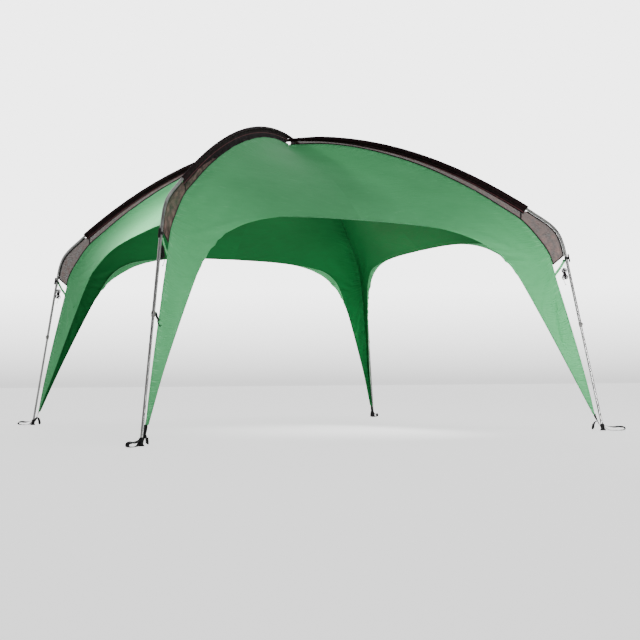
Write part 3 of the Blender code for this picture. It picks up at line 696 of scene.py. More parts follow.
def hank_path():
    """Guy line in the corner frame: down from the tab, wound in two lobes beside the leg, wrapped
    round their waist, and its tail hanging."""
    middle = leg_depth(HANK_Z)
    points = []

    def put(down, layer, away):
        spot = leg_point(middle + down, -away)
        points.append((spot[0], layer, spot[1]))

    put(-0.088, 0.001, 0.0175)
    put(-0.076, 0.002, 0.0165)
    put(-0.064, -0.002, 0.0205)
    put(-0.051, -0.007, 0.0310)
    for step in range(5, HANK_TURNS * STEPS_PER_TURN + 20):
        which = step / STEPS_PER_TURN
        turn = 2 * pi * which
        reach = HANK_HALF * (0.80 + 0.20 * sin(1.9 * which + 1)) - HANK_BEND
        down = -reach * np.tanh(2.4 * cos(turn)) - HANK_BEND * cos(turn)
        low = 0.5 + 0.5 * np.tanh(down / 0.010)
        waist = 1 - 0.62 * np.exp(-(down / 0.017) ** 2)
        off = (HANK_BEND * sin(turn) + 0.0100 * sin(2.3 * which)) * (1 + 0.18 * low) * waist
        layer = HANK_LAYER * (which - HANK_TURNS / 2) + 0.0012 * sin(1.3 * which + 0.4)
        put(down, layer, 0.0345 + 0.0040 * low + off)
    side = HANK_LAYER * (HANK_TURNS / 2 + 0.5) + 0.0032
    begin, end = radians(-35), radians(1080)
    for step in range(WRAP_STEPS + 1):
        share = step / WRAP_STEPS
        turn = begin + (end - begin) * share
        entry, leave = np.exp((begin - turn) / 0.5), np.exp((turn - end) / 0.5)
        put(0.0052 - 0.0102 * share + 0.0120 * entry + 0.0140 * leave,
            (side + 0.0032 * leave) * cos(turn), 0.0370 + 0.0105 * sin(turn))
    put(0.0240, side + 0.003, 0.0470)
    put(0.0480, side - 0.001, 0.0540)
    put(0.0700, 0.0120, 0.0500)
    put(0.0860, 0.0100, 0.0460)
    return points


def guy_line(corner, angle):
    turn = Matrix.Rotation(radians(angle), 4, "Z")
    points = smooth_line(hank_path(), 0.0016)
    data = bpy.data.curves.new("guy_line_" + corner, "CURVE")
    data.dimensions = "3D"
    data.bevel_depth, data.bevel_resolution = CORD_D / 2, 3
    data.use_fill_caps = True
    line = data.splines.new("POLY")
    line.points.add(len(points) - 1)
    for spot, point in zip(line.points, points):
        spot.co = (*(turn @ Vector(point)), 1)
    line.use_smooth = True
    data.materials.append(LOOKS["cord"])
    item = linked("guy_line_" + corner, data)
    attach(item, "canopy_frame")
    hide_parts("guy_hank_" + corner)
    knot_mesh = round_tube("knot", trefoil(points[-1], 0.0032), CORD_D / 2, closed=True)
    knot = piece("guy_knot_" + corner, knot_mesh, ["cord"], angle)


# ------------------------------------------------------------------ canopy
def resampled(grid, places, axis):
    """Grid read at fractional row (or column) numbers, on smooth curves."""
    grid = np.moveaxis(grid, axis, 0)
    padded = np.concatenate([2 * grid[:1] - grid[1:2], grid, 2 * grid[-1:] - grid[-2:-1]])
    base = np.clip(np.floor(places).astype(int), 0, len(grid) - 2)
    t = (places - base).reshape((-1,) + (1,) * (grid.ndim - 1))
    return np.moveaxis(catmull_rom(*(padded[base + k] for k in range(4)), t), 0, axis)


def nearest(values, wanted):
    return int(np.argmin(abs(values - wanted)))


def stretches(line, cuts, counts):
    """Even points on a line between its cuts, so many steps on each stretch."""
    parts = [evenly(line[a:b + 1], count + 1) for a, b, count in zip(cuts, cuts[1:], counts)]
    return np.vstack([parts[0]] + [part[1:] for part in parts[1:]])


def tight_half_face():
    """Half a face in its own frame, pulled tight from ridge seam to middle and opening edge."""
    roof = RELAX_ROWS[0]
    seam, edge = spline(SEAM, 600), spline(EDGE, 600)
    last = len(seam) - 1
    crown, split = nearest(seam[:, 0], CROWN_SEAM_R), nearest(seam[:, 1], FLAP_TOP)
    near = stretches(seam, (0, crown, split, last), RELAX_ROWS)
    ridge = evenly([(0, 0, seam[0, 1]), edge[0]], roof + 1)
    below = stretches(edge, (0, nearest(edge[:, 2], FLAP_TOP), last), RELAX_ROWS[1:])
    far = np.vstack([ridge, below[1:]])
    out = near[:, 0] / sqrt(2)
    near = np.stack([out, out, near[:, 1]], 1)
    share = np.linspace(0, 1, RELAX_COLUMNS + 1)[None, :, None]
    grid = near[:, None, :] * (1 - share) + far[:, None, :] * share
    for _ in range(RELAX_ROUNDS):
        inner = (grid[:-2, 1:-1] + grid[2:, 1:-1] + grid[1:-1, :-2] + grid[1:-1, 2:]) / 4
        middle = (grid[:roof - 1, -1] + grid[2:roof + 1, -1] + 2 * grid[1:roof, -2]) / 4
        grid[1:-1, 1:-1] = inner
        grid[1:roof, -1] = middle
        grid[1:roof, -1, 1] = 0
    return grid


def finished_rows(coarse):
    """Fractional rows a row step apart along the seam, with one on the opening's crown."""
    along = run_along(coarse[:, 0])
    wanted = np.linspace(0, along[-1], int(along[-1] / ROW_STEP))
    rows = np.interp(wanted, along, np.arange(len(coarse)))
    crown = RELAX_ROWS[0]
    return np.unique(np.append(rows[abs(rows - crown) > 0.15], crown))


def smooth_half_face():
    """Finished half face without folds, and its fractional rows."""
    coarse = tight_half_face()
    rows = finished_rows(coarse)
    columns = RELAX_COLUMNS * (0.5 - 0.5 * np.cos(pi * np.arange(CLOTH_COLUMNS + 1) / CLOTH_COLUMNS))
    crown = RELAX_ROWS[0]
    parts = ((coarse, rows), (coarse[:crown + 1], rows[rows < crown]),
             (coarse[crown:], rows[rows >= crown] - crown))
    whole, above, below = (resampled(resampled(part, at, 0), columns, 1) for part, at in parts)
    far = np.clip((columns / RELAX_COLUMNS - 0.75) / 0.25, 0, 1)[None, :, None]
    return whole * (1 - far) + np.concatenate([above, below]) * far, rows


def cloth_folds(grid, across, from_edge, along, seed):
    """How far folds, gathers and pulls lift the cloth."""
    height = grid[..., 2]
    held = np.clip(across / 0.03, 0, 1) * np.clip(from_edge / 0.10, 0, 1) ** 2
    gathers = 0.0050 * irregular(2 * pi * (along + 0.35 * across) / 0.085, seed)
    gathers *= np.exp(-across / 0.13) * np.exp(-((height - 1.70) / 0.40) ** 2)
    corner = np.linalg.norm(grid - np.array((1.58, 1.58, 1.33)), axis=2)
    fan = np.arctan2(grid[..., 1] - 1.58, 1.33 - height + 1e-6)
    pulls = 0.0075 * irregular(fan * 21, seed + 3) * np.exp(-((corner - 0.42) / 0.30) ** 2)
    folds = 0.0035 * irregular(2 * pi * across / 0.16 + 0.9 * height, seed + 7)
    folds *= np.clip((1.35 - height) / 0.3, 0, 1)
    slack = 0.006 * irregular(2.1 * grid[..., 0] * 2 + 1.4 * grid[..., 1], seed + 11)
    slack *= np.clip((height - 1.55) / 0.3, 0, 1) * np.clip(across / 0.3, 0, 1)
    still = np.clip(abs(grid[..., 1]) / 0.3, 0, 1)
    return (gathers + pulls + folds + slack) * held * still * still * (3 - 2 * still)


def cloth_grid(seed):
    """Finished half face: points, distance from seam and from edge, run along the seam."""
    grid, rows = smooth_half_face()
    widths = np.cumsum(np.linalg.norm(np.diff(grid, axis=1), axis=2), 1)
    across = np.concatenate([np.zeros((len(grid), 1)), widths], 1)
    along = run_along(grid[:, 0])[:, None] * np.ones_like(across)
    from_edge = across[:, -1:] - across
    roof = rows < RELAX_ROWS[0]
    past = np.linalg.norm(grid - grid[~roof][0, -1], axis=2)
    from_edge[roof] = np.minimum(from_edge[roof] + 1.0, past[roof])
    normal = np.cross(np.gradient(grid, axis=0), np.gradient(grid, axis=1))
    normal /= np.maximum(np.linalg.norm(normal, axis=2), 1e-9)[..., None]
    normal *= np.sign(normal[len(grid) // 2, 5, 2] + 1e-9)
    grid = grid + normal * cloth_folds(grid, across, from_edge, along, seed)[..., None]
    grid[roof, -1, 1] = 0
    return grid, across, from_edge, along


def face_to_corner(grid):
    """From the frame of the face on a corner's left to the corner's frame."""
    out, along, height = grid[..., 0], grid[..., 1], grid[..., 2]
    return np.stack([(out + along) / sqrt(2), (along - out) / sqrt(2), height], 2)


def corner_cloth(seed):
    """Cloth of one corner, both sides of its ridge seam, as a bmesh in the corner's frame."""
    work = bmesh.new()
    uv = work.loops.layers.uv.new("UVMap")
    seam_layer = work.verts.layers.float.new("from_seam")
    edge_layer = work.verts.layers.float.new("from_edge")
    for hand in (1, -1):
        grid, across, from_edge, along = cloth_grid(seed + (hand > 0) * 5)
        wing = face_to_corner(grid) * np.array((1, hand, 1))
        wing[:, 0, 1] = 0
        verts = [[work.verts.new(point) for point in row] for row in wing]
        for place in np.ndindex(across.shape):
            vert = verts[place[0]][place[1]]
            vert[seam_layer], vert[edge_layer] = across[place], from_edge[place]
        sheet_faces(work, uv, verts, np.stack([hand * across, along], 2), flip=hand < 0)
    bmesh.ops.remove_doubles(work, verts=work.verts, dist=SEW)
    return work


def split_plane():
    """Point and direction of the plane where a flap starts: square to the leg."""
    seam = spline(SEAM, 2000)
    at = seam[nearest(seam[:, 1], FLAP_TOP)]
    return Vector((at[0], 0, at[1])), Vector((LEAN[0], 0, LEAN[1]))


def part_of(work, flap):
    """Copy of the corner's cloth on one side of the split plane."""
    at, way = split_plane()
    part = work.copy()
    everything = part.verts[:] + part.edges[:] + part.faces[:]
    bmesh.ops.bisect_plane(part, geom=everything, dist=SNAP, plane_co=at, plane_no=way,
                           use_snap_center=True, clear_inner=flap, clear_outer=not flap)
    return part


def cloth_mesh(name, works_and_turns):
    """One mesh from bmeshes of the corner frame, each turned to its corner, sharp along seams."""
    joined = bmesh.new()
    for work, angle in works_and_turns:
        mesh = bpy.data.meshes.new("part")
        work.to_mesh(mesh)
        mesh.transform(Matrix.Rotation(radians(angle), 4, "Z"))
        joined.from_mesh(mesh)
        bpy.data.meshes.remove(mesh)
    bmesh.ops.remove_doubles(joined, verts=joined.verts, dist=JOIN)
    seam_layer = joined.verts.layers.float["from_seam"]
    for face in joined.faces:
        face.smooth = True
    for edge in joined.edges:
        edge.smooth = not (edge.is_boundary or all(vert[seam_layer] < SEW for vert in edge.verts))
    return mesh_from(joined, name)


def make_canopy():
    works = {corner: corner_cloth(1.7 * index) for index, corner in enumerate(CORNERS)}
    roof = cloth_mesh("canopy", [(part_of(works[c], False), angle) for c, angle in CORNERS.items()])
    panels = ["canopy_panel_" + face for face in
              ("front_right", "back_right", "back_left", "front_left")]
    canopy = piece("canopy", roof, ["outer", "inner"], replaced=panels)
    thicken(canopy)
    for corner, angle in CORNERS.items():
        mesh = cloth_mesh("leg_flap", [(part_of(works[corner], True), 0)])
        flap = piece("leg_flap_cloth_" + corner, mesh, ["flap", "inner"], angle, ["leg_flap_" + corner])
        thicken(flap)
        follow_leg(flap)
        if corner == "front":
            toggle = piece("flap_toggle", toggle_mesh(), ["plastic"], angle)
            follow_leg(toggle)


def toggle_mesh():
    """Hook and cord end that tie a flap back, hanging on its seam."""
    seam = spline(SEAM, 1200)[::-1]
    line = spline(((-0.021, 0.838), (-0.014, 0.824), (-0.006, 0.808), (0.002, 0.793), (0.001, 0.781),
                   (0.006, 0.767), (0.014, 0.754), (0.024, 0.749), (0.030, 0.754)), 60)
    across, height = line.T
    size = np.interp(height, (0.749, 0.770, 0.790, 0.806, 0.838),
                     (0.0032, 0.0038, 0.0055, 0.0080, 0.0085))
    out = np.interp(height, seam[:, 1], seam[:, 0]) + size + 0.0015
    made = round_tube("toggle", np.stack([out, across, height], 1), size, 14)
    root = out[30]
    spur = spline(((root, 0.000, 0.7865), (root + 0.001, 0.008, 0.7870),
                   (root + 0.002, 0.015, 0.7910)), 9)
    return boolean(made, round_tube("spur", spur, 0.0032), "UNION")


def follow_leg(item):
    """Gives the piece a mesh of its own."""
    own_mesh(item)


# ---------------------------------------------------- sleeves and netting
def tail_depth(distance, apex):
    """How far below the pole a sleeve's tail hangs."""
    given_up = 0.5 * (APEX["front_back"] - apex) * (1 - (distance / ARCH_END[0]) ** 2)
    return np.maximum(np.minimum(SLEEVE_TAIL, 0.028 + 0.0275 * distance) - given_up, SLEEVE_R + GAP)


def sleeve_section(run, distance, apex, seed):
    """Closed section of a sleeve: over the pole, stitched below it, a doubled tail."""
    tail = float(tail_depth(distance, apex))
    puff = (1 + 0.045 * irregular(2 * pi * run / 0.052, seed)
            + 0.02 * irregular(2 * pi * run / 0.021, seed))
    turn = np.radians(np.linspace(-62, 242, 23))
    radius = SLEEVE_R * puff * (1 + 0.02 * np.sin(3 * turn + 40 * run))
    across, up = radius * np.cos(turn), radius * np.sin(turn)
    if apex == APEX["front_back"]:
        deep = arch_height(distance, apex) - np.interp(distance, *np.array(SEAM).T) - 0.004
        tail += max(0.0, deep - tail) * float(np.clip((1.75 - distance) / 0.40, 0, 1))
        tail = SLEEVE_R + 0.0006 + (tail - SLEEVE_R) * min(1, max(0, (distance - 0.022) / 0.05))
    else:
        up = up + 0.010 * np.clip(np.sin(turn), 0, 1) * float(np.clip((distance - 0.05) / 0.25, 0, 1))
    below = np.linspace(0, 1, 7)[1:]
    sway = (0.0018 * irregular(2 * pi * run / 0.23, seed + 2)
            + 0.0005 * irregular(2 * pi * run / 0.07, seed))
    lean = sway * below ** 1.5
    narrow = 0.0009
    pinch = narrow + (abs(float(across[0])) - narrow) * (1 - np.clip(below / 0.28, 0, 1)) ** 1.6
    pinch += 0.0016 * np.exp(-((below - 0.68) / 0.16) ** 2)
    start = -float(up[0])
    down = -(start + (tail - start) * below)
    return (np.concatenate([across, lean - pinch, (lean + pinch)[::-1]]),
            np.concatenate([up, down, down[::-1]]))


def sleeve_mesh(apex, seed):
    half = arch_line(apex, 300)
    half = half[run_along(half) <= run_along(half)[-1] - SLEEVE_SHORT]
    path = np.vstack([half[::-1] * (-1, 1), half[1:]])
    rings, drops = [], []
    for run, point, way in zip(run_along(path), path, tangents(path)):
        across, up = sleeve_section(run, abs(point[0]), apex, seed)
        rings.append(placed(point, way, across, up))
        drops.append(np.maximum(0, -up))
    mesh = skin("sleeve", rings, caps=False, angle=70)
    layer = mesh.attributes.new("drop", "FLOAT", "POINT")
    layer.data.foreach_set("value", np.concatenate(drops).astype(np.float32))
    return mesh


def net_lines(apex):
    """Upper and lower outline of the netting, with as many points each."""
    low = beside(seam_between(0.060, 1.993, 160), -0.0015)
    slope = 2 * (apex - ARCH_END[1]) * low[:, 0] / ARCH_END[0] ** 2
    level = 1 / np.sqrt(1 + slope ** 2)
    tail_end = (tail_depth(low[:, 0], apex) - 0.004) / level
    high = np.stack([low[:, 0], arch_height(low[:, 0], apex) - tail_end], 1)
    pole = evenly(np.vstack([[socket_point(SLEEVE_SHORT / 2)], elbow_curve(40),
                             [(along_leg(1.395), 1.395), (along_leg(1.380), 1.380)]]), 60)
    outer = beside(pole, TUBE_R + 0.0022)
    inner = beside(seam_between(1.999, 2.2365, 60, 1.2), -0.0015)
    return high, low, outer, inner


def net_mesh(apex, seed):
    high, low, outer, inner = net_lines(apex)
    upper, lower = np.vstack([high, outer]), np.vstack([low, inner])
    along = run_along(lower)
    work = bmesh.new()
    uv = work.loops.layers.uv.new("UVMap")
    verts, spots = [], []
    for run, a, b in zip(along, upper, lower):
        width = np.linalg.norm(a - b)
        verts.append([])
        spots.append([])
        for share in np.linspace(0, 1, NET_STEPS):
            bulge = sin(pi * share) * min(1.0, width / 0.12, (along[-1] - run) / 0.05)
            wave = 0.006 * irregular(2 * pi * run / 0.11 + 5 * share, seed) * bulge
            spot = a * (1 - share) + b * share
            verts[-1].append(work.verts.new((spot[0], wave, spot[1])))
            spots[-1].append((width * share, run))
    sheet_faces(work, uv, verts, spots)
    mesh = mesh_from(work, "net")
    mesh.shade_smooth()
    return mesh


def make_sleeves_and_nets():
    for index, (arch, ends) in enumerate(ARCHES.items()):
        apex, first = APEX[arch], ends[0]
        sleeve = piece("sleeve_" + arch, sleeve_mesh(apex, 2.0 + 3 * index), ["sleeve"],
                       CORNERS[first], ["pole_sleeve_" + arch])
        thicken(sleeve, SLEEVE_T)
        high, low, outer, inner = net_lines(apex)
        seam = seam_between(0.012, SEAM[-1][0], 220, FLAP_TOP + 0.004)
        hem = evenly([outer[-1], inner[-1]], 12)
        bar = evenly([high[-1] + (0.004, 0.010), low[-1]], 8)
        tapes = {"seam_binding": tape("seam_binding", seam, 0.0085, 0.0030, -0.004),
                 "gusset_binding": tape("gusset_binding", outer, 0.0110, 0.0032, 0.0040),
                 "gusset_hem": tape("gusset_hem", hem, 0.0100, 0.0030),
                 "sleeve_end_bar": tape("sleeve_end_bar", bar, 0.0120, 0.0034)}
        for corner in [c for c in CORNERS if c in ends]:
            angle = CORNERS[corner]
            net = piece("pole_sleeve_net_" + corner, net_mesh(apex, angle / 30), ["net"], angle,
                        ["vent_mesh_" + corner])
            for name, mesh in tapes.items():
                corner_piece(name, mesh, "binding", corner)


# ------------------------------------------------------------------- poles
def swaged(path, *beads):
    """Tube radius along a path, with a low bead at each given distance."""
    runs = run_along(path)
    return TUBE_R + sum(0.0005 * np.exp(-((runs - spot) / 0.0016) ** 2) for spot in beads)


def drilled(mesh, depths):
    for depth in depths:
        drill = peg("drill", ((0.004, HOLE_R), (0.020, HOLE_R)), depth)
        mesh = boolean(mesh, drill, "DIFFERENCE")
    return mesh


def roof_tube(apex):
    path = arch_line(apex, 90)
    path[0] = (GAP, path[0][1])
    return tube("roof_pole", path, TUBE_R, TUBE_BORE)


def spigot(start, way):
    start = np.array(start)
    return tube("spigot", [start + way * on for on in (GAP, 0.02, SPIGOT)], INNER_R - GAP, INNER_BORE)


def make_poles():
    bend = elbow_curve(150)
    elbow = tube("elbow", bend, swaged(bend, 0.006, run_along(bend)[-1] - 0.006), INNER_BORE)
    steps = np.concatenate([np.linspace(GAP, 0.02, 14), np.linspace(0.03, UPPER_LEG, 20)])
    upper_path = np.array([leg_point(d) for d in steps])
    upper = drilled(tube("upper_leg", upper_path, swaged(upper_path, 0.006), TUBE_BORE), [LOCK_AT])
    lower_path = [leg_point(d) for d in
                  np.linspace(UPPER_LEG - OVERLAP, LEG_LENGTH - TUBE_END, 24)]
    lower = drilled(tube("lower_leg", lower_path, INNER_R, INNER_BORE),
                    [LOCK_AT + HOLE_STEP * step for step in range(round(TRAVEL / HOLE_STEP) + 1)])
    top, low = spigot(ARCH_END, -ARCH_FALL), spigot(LEG_TOP, LEAN)
    roof = {}
    for arch, ends in ARCHES.items():
        roof.update(dict.fromkeys(ends, roof_tube(APEX[arch])))
    collar, button = collar_mesh(), button_mesh()
    for corner in CORNERS:
        corner_piece("roof_tube", roof[corner], "metal", corner, "roof_pole")
        corner_piece("elbow_tube", elbow, "metal", corner, "elbow")
        corner_piece("elbow_spigot_top", top, "metal", corner)
        corner_piece("elbow_spigot_low", low, "metal", corner)
        corner_piece("upper_tube", upper, "metal", corner, "upper_leg")
        corner_piece("lower_tube", lower, "metal", corner, "lower_leg", "leg_" + corner)
        corner_piece("collar", collar, "grey", corner, "lock_collar")
        corner_piece("button_cap", button, "button", corner, "lock_button", "button_" + corner)


def collar_mesh():
    """Moulded lock collar: tapered ends, grip rings, a boss for the button."""
    lip, bore = UPPER_LEG + GAP, INNER_R + GAP
    profile = [(COLLAR_TOP, 0.0119), (COLLAR_TOP + 0.0006, 0.0123),
               (COLLAR_TOP + 0.003, COLLAR_R - 0.0003)]
    for depth in np.linspace(COLLAR_TOP + 0.004, COLLAR_END - 0.008, 31):
        ripple = 0.00035 * sin(2 * pi * (depth - COLLAR_TOP) / 0.006)
        profile.append((depth, COLLAR_R - 0.00035 + ripple))
    profile += [(COLLAR_END - 0.007, COLLAR_R - 0.0004), (COLLAR_END - 0.001, 0.0122),
                (COLLAR_END, 0.0117), (COLLAR_END, bore), (lip, bore), (lip, TUBE_R + GAP),
                (COLLAR_TOP, TUBE_R + GAP)]
    rings = [ring_at(leg_point(depth), LEAN, radius, COLLAR_SIDES) for depth, radius in profile]
    body = skin("collar", rings, wrap=True, angle=32)
    boss = peg("boss", ((COLLAR_R - 0.0015, BOSS_R + 0.0006), (COLLAR_R + 0.0004, BOSS_R + 0.0003),
                        (COLLAR_R + 0.0015, BOSS_R), (BOSS_FACE - 0.0010, BOSS_R),
                        (BOSS_FACE - 0.0003, BOSS_R - 0.0003), (BOSS_FACE, BOSS_R - 0.0010)), LOCK_AT)
    hole = peg("bore", ((TUBE_R - 0.002, BUTTON_BORE_R), (BOSS_FACE + 0.004, BUTTON_BORE_R)), LOCK_AT)
    return boolean(boolean(body, boss, "UNION"), hole, "DIFFERENCE")


def button_mesh():
    """Button with a rounded rim and a small dish in its face."""
    rise, flat = BUTTON_FACE - BUTTON_DOME, BUTTON_R - BUTTON_DOME
    steps = [(BUTTON_BACK, BUTTON_R - 0.0004), (BUTTON_BACK + 0.0004, BUTTON_R)]
    steps += [(rise + BUTTON_DOME * sin(turn), flat + BUTTON_DOME * cos(turn))
              for turn in np.linspace(0, pi / 2, 7)]
    return peg("button", steps + [(BUTTON_FACE - 0.0003, 0.0012)], LOCK_AT, angle=30)


# -------------------------------------------------------- feet and straps
FOOT_BASE = np.array((FOOT_R, 0.0))


def foot_ring(on, radius):
    """Ring round the lower leg, so far up from the foot's base."""
    return ring_at(FOOT_BASE - LEAN * on, LEAN, radius, FOOT_SIDES)


def foot_mesh():
    """Foot cap: a round base flat on the floor, a waist and a socket for the tube."""
    rings = [ring_at((along_leg(height), height), (0, -1.0), FOOT_BASE_R - less, FOOT_SIDES)
             for height, less in ((0, 0.0022), (0.0006, 0.0008), (0.0016, 0), (0.0050, 0),
                                  (0.0066, 0.0010), (0.0080, 0.0040), (0.0120, 0.0066))]
    rings += [foot_ring(on, radius) for on, radius in (
        (0.0200, FOOT_NECK_R + 0.0004), (0.0225, FOOT_NECK_R), (0.0485, FOOT_NECK_R),
        (0.0505, FOOT_NECK_R - 0.0004), (FOOT_TOP, FOOT_NECK_R - 0.0018),
        (FOOT_TOP, INNER_R + GAP), (TUBE_END - GAP, INNER_R + GAP))]
    return skin("foot", rings, angle=30)


def strap_band():
    """Webbing stitched round the foot's neck."""
    inside = FOOT_NECK_R + GAP
    outside = inside + WEB_T
    return skin("band", [foot_ring(on, radius) for on, radius in (
        (0.0230, outside - 0.0005), (0.0238, outside), (0.0462, outside),
        (0.0470, outside - 0.0005), (0.0470, inside), (0.0230, inside))], wrap=True)


def strap(name, points, count, twist, width=1.0, thickness=WEB_T, cup=0.0):
    """Webbing through points measured from the foot's base, with its twist in degrees."""
    turns = np.interp(np.linspace(0, 1, count), np.linspace(0, 1, len(twist)), twist)
    return ribbon(name, FOOT_BASE + spline(points, count), WEBBING * width, thickness, cup, turns)


def strap_meshes():
    return {
        "strap_rise": strap("rise", (
            (-0.0222, 0.034), (-0.0300, 0.048), (-0.0385, 0.066), (-0.0500, 0.088),
            (-0.0605, 0.112), (-0.0630, 0.128)), 40, (0, 0, 24, 42, 46)),
        "strap_tail": strap("tail", (
            (-0.0400, 0.0690), (-0.0465, 0.0712), (-0.052, 0.070), (-0.0605, 0.0650),
            (-0.066, 0.058), (-0.0712, 0.047), (-0.074, 0.036), (-0.078, 0.014)), 40,
            (0, 18, 34, 44, 50), 0.9, 0.0032, 0.0012),
        "strap_fold": strap("fold", (
            (-0.0712, 0.0480), (-0.0744, 0.0360), (-0.0785, 0.0132), (-0.0806, 0.0100),
            (-0.0830, 0.0135), (-0.0790, 0.0365), (-0.0752, 0.0490)), 40, (30, 30), 0.8, 0.0030),
        "stake_loop": strap("loop", (
            (0.0112, 0.0270), (0.024, 0.0150), (0.045, 0.0042), (0.075, 0.0016),
            (0.115, 0.0016), (0.150, 0.0040), (0.165, 0.0160), (0.150, 0.0280),
            (0.118, 0.0300), (0.080, 0.0270), (0.040, 0.0310), (0.0086, 0.0400)), 130,
            (0, 0, 0, 0, 0, 0, 22, 30, 30, 22, 10, 0)),
        "loop_fold": strap("doubled", (
            (0.128, 0.0045), (0.146, 0.0050), (0.1590, 0.0160), (0.147, 0.0265),
            (0.126, 0.0275)), 40, (0, 0, 6, 26, 28), 0.92, 0.0040),
        "loop_tack": strap("tack", (
            (0.0930, 0.0034), (0.0965, 0.0036), (0.1000, 0.0034)), 5, (0, 0), 0.9, 0.0014),
    }


def make_feet():
    """Feet, straps, buckles and stake loops, which move with the lower legs."""
    foot, band_mesh, straps, buckle = foot_mesh(), strap_band(), strap_meshes(), buckle_mesh()
    for corner in CORNERS:
        body = "leg_" + corner
        corner_piece("foot_cap", foot, "plastic", corner, "foot", body)
        corner_piece("strap_band", band_mesh, "webbing", corner, "ground_strap", body)
        for name, mesh in straps.items():
            corner_piece(name, mesh, "webbing", corner, body=body)
        corner_piece("buckle", buckle, "plastic", corner, "strap_buckle", body)


def buckle_mesh():
    """Ladder buckle: a rounded frame with two cross bars, the upper one raised."""
    centre, way = FOOT_BASE + (-0.0343, 0.0570), np.array((-0.427, 0.904))
    side = np.array((-way[1], way[0]))
    half_width, half_length, bar = 0.0158, 0.0092, 0.0021

    def spot(across, along, lift=0.0):
        flat = centre + way * along + side * lift
        return flat[0], across, flat[1]

    turn = full_turn(48)
    outline = [spot(half_width * across, half_length * along) for across, along in
               zip(squared(np.cos(turn), 0.4), squared(np.sin(turn), 0.4))]
    made = round_tube("buckle", outline, bar, 12, closed=True)
    for along, lift in ((0.0022, 0.0022), (-0.0040, 0.0)):
        line = [spot(a, along, lift * (1 - (a / half_width) ** 4)) for a in
                np.linspace(-half_width, half_width, 13)]
        made = boolean(made, round_tube("bar", line, bar * 0.8, 12), "UNION")
    return made


# -------------------------------------------------------- corner fittings
def clip_mesh():
    """Snap clip: a C round the pole with rolled lips, and a lever down its outside."""
    centre = np.array((along_leg(CLIP_Z), CLIP_Z))
    inner, outer, half = TUBE_R + 0.0005, TUBE_R + 0.0044, 0.010
    radii = np.array((inner, inner + 0.0006, outer - 0.0008, outer))
    radii = np.append(radii, radii[::-1])
    push = np.array((-half + 0.0006, -half, -half, -half + 0.0008))
    push = np.append(push, -push[::-1])
    rings = []
    for angle in np.radians(-142 + 284 * np.arange(41) / 40):
        lip = 0.0012 * max(0, abs(angle) - radians(125)) / radians(17)
        rings.append(placed(centre[:, None] + np.outer(LEAN, push), LEAN,
                            (radii + lip) * sin(angle), (radii + lip) * cos(angle)))
    line = spline(((-0.031, 0.021), (-0.012, 0.020), (0.005, 0.020), (0.020, 0.021), (0.034, 0.020)), 30)
    turn = full_turn(TUBE_SIDES)
    lever = []
    for share, (run, away) in zip(np.linspace(-1, 1, 30), line):
        size = 1 - 0.35 * abs(share) ** 8
        wide = 0.0080 * size * squared(np.cos(turn), 0.55)
        deep = away + 0.0062 * size * squared(np.sin(turn), 0.55)
        deep += 0.0006 * sin(run * 2 * pi / 0.004) * (run > 0.008) * (np.sin(turn) > 0.5)
        lever.append(placed(centre + LEAN * run, LEAN, wide, deep))
    return boolean(skin("clip", rings), skin("lever", lever), "UNION")


def make_fittings():
    seam = spline(SEAM, 1200)
    low = seam[nearest(seam[:, 1], 1.225)]
    leg = leg_point(leg_depth(1.342), -(TUBE_R + 0.004))
    sag = (leg + low) / 2 + (0.002, -0.003)
    tab = tape("tab", spline((low + (-0.004, -0.004), sag, leg), 30), 0.020, 0.0024)
    spot = leg_point(leg_depth(1.338), -(TUBE_R + 0.0095))
    knot = round_tube("knot", trefoil((spot[0], 0.0, spot[1]), 0.0085), 0.0042, closed=True)
    clip = clip_mesh()
    for corner in CORNERS:
        corner_piece("clip", clip, "plastic", corner, "corner_clip")
        corner_piece("clip_tab", tab, "green_tape", corner)
        # the knot's darker green is painted shade
        corner_piece("clip_tab_knot", knot, "knot", corner)


def make_ferrules():
    for name in ("ridge_ferrule_front_back", "ridge_ferrule_left_right"):
        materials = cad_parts[name].data.materials
        materials.clear()
        materials.append(LOOKS["metal"])


# -------------------------------------------------------------- the studio
# Brightness low behind the shelter, behind it, at its other sides, overhead and where floor ends.
HORIZON, BACKDROP, AROUND, ZENITH, FAR_FLOOR = 1.4, 4.2, 0.58, 0.26, 1.25
FLOOR_GREY, FLOOR_GLOW, FLOOR_HALF, FLOOR_DROP = 0.42, 1.2, 90, 0.0005


def make_floor():
    made, _, shader = blank("studio_floor", Roughness=0.9, Base_Color=(FLOOR_GREY,) * 3,
                            Specular_IOR_Level=0.1)
    shader.inputs["Emission Color"].default_value = (1, 1, 1, 1)
    shader.inputs["Emission Strength"].default_value = FLOOR_GLOW
    work = bmesh.new()
    bmesh.ops.create_grid(work, x_segments=8, y_segments=8, size=FLOOR_HALF)
    bmesh.ops.translate(work, verts=work.verts, vec=(0, 0, -FLOOR_DROP))
    mesh = mesh_from(work, "studio_floor")
    mesh.materials.append(made)
    item = linked("studio_floor", mesh)


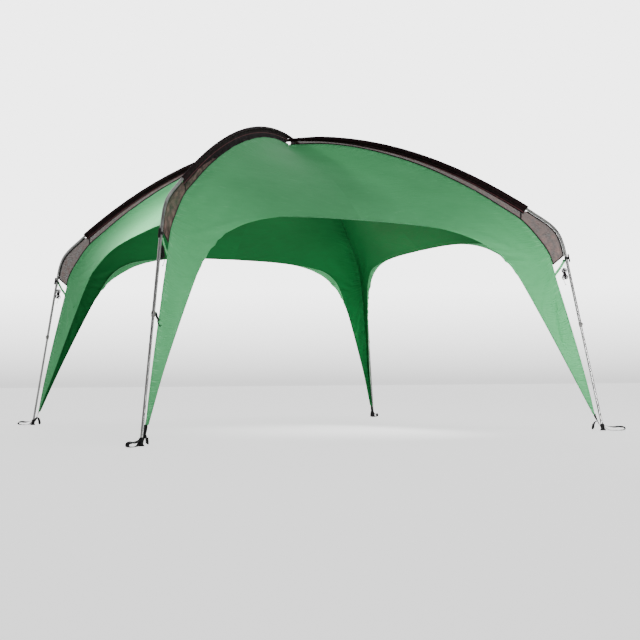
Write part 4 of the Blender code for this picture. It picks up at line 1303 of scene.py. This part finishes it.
def area_light(name, place, target, size, power, cone=180):
    data = bpy.data.lights.new(name, "AREA")
    data.shape, data.size, data.energy, data.spread = "DISK", size, power, radians(cone)
    item = linked(name, data)
    item.location = place
    way = Vector(target) - Vector(place)
    item.rotation_euler = way.to_track_quat("-Z", "Y").to_euler()
    item.visible_camera = False


def light_studio():
    world = bpy.data.worlds.new("studio")
    world.use_nodes = True
    tree = world.node_tree
    way = add(tree, "TexCoord").outputs["Generated"]
    height = add(tree, "SeparateXYZ", {0: way}).outputs[2]
    ahead = add(tree, "VectorMath", {0: way, 1: (-sin(CAMERA_YAW), cos(CAMERA_YAW), 0)},
                operation="DOT_PRODUCT").outputs["Value"]
    screen = times(tree, spread(tree, ahead, 0.35, 0.80), spread(tree, height, 0.75, 0.45))
    rest = spread(tree, height, 0.02, 0.45, FAR_FLOOR, AROUND)
    bright = add(tree, "MapRange", {"Value": screen, "To Min": rest, "To Max": BACKDROP}).outputs[0]
    glow = maths(tree, "MINIMUM", bright, spread(tree, height, 0.0, 0.09, HORIZON, BACKDROP))
    glow = maths(tree, "MINIMUM", glow, spread(tree, height, 0.5, 0.8, BACKDROP, ZENITH))
    tree.links.new(glow, tree.nodes["Background"].inputs["Strength"])
    tree.nodes["Background"].inputs["Color"].default_value = (1, 1, 1, 1)
    bpy.context.scene.world = world
    area_light("key", (-1.5, -8.5, 0.45), (2.25, -1.6, 0.85), 0.8, 27, 26)
    area_light("fill", (2.5, -8.0, 0.45), (-1.9, -1.6, 0.85), 0.8, 7.5, 24)
    area_light("deep", (-2.6, -9.0, 0.6), (1.6, 1.6, 0.9), 0.6, 8, 13)
    area_light("side", (-7.0, 2.5, 6.0), (-1.5, 0.10, 2.0), 1.0, 38, 18)
    area_light("top", (1.5, -3.5, 9.0), (0.2, -0.5, 1.5), 4.0, 240)


aim_camera()
for corner, angle in CORNERS.items():
    guy_line(corner, angle)
make_canopy()
make_sleeves_and_nets()
make_poles()
make_feet()
make_fittings()
make_ferrules()
make_floor()
light_studio()
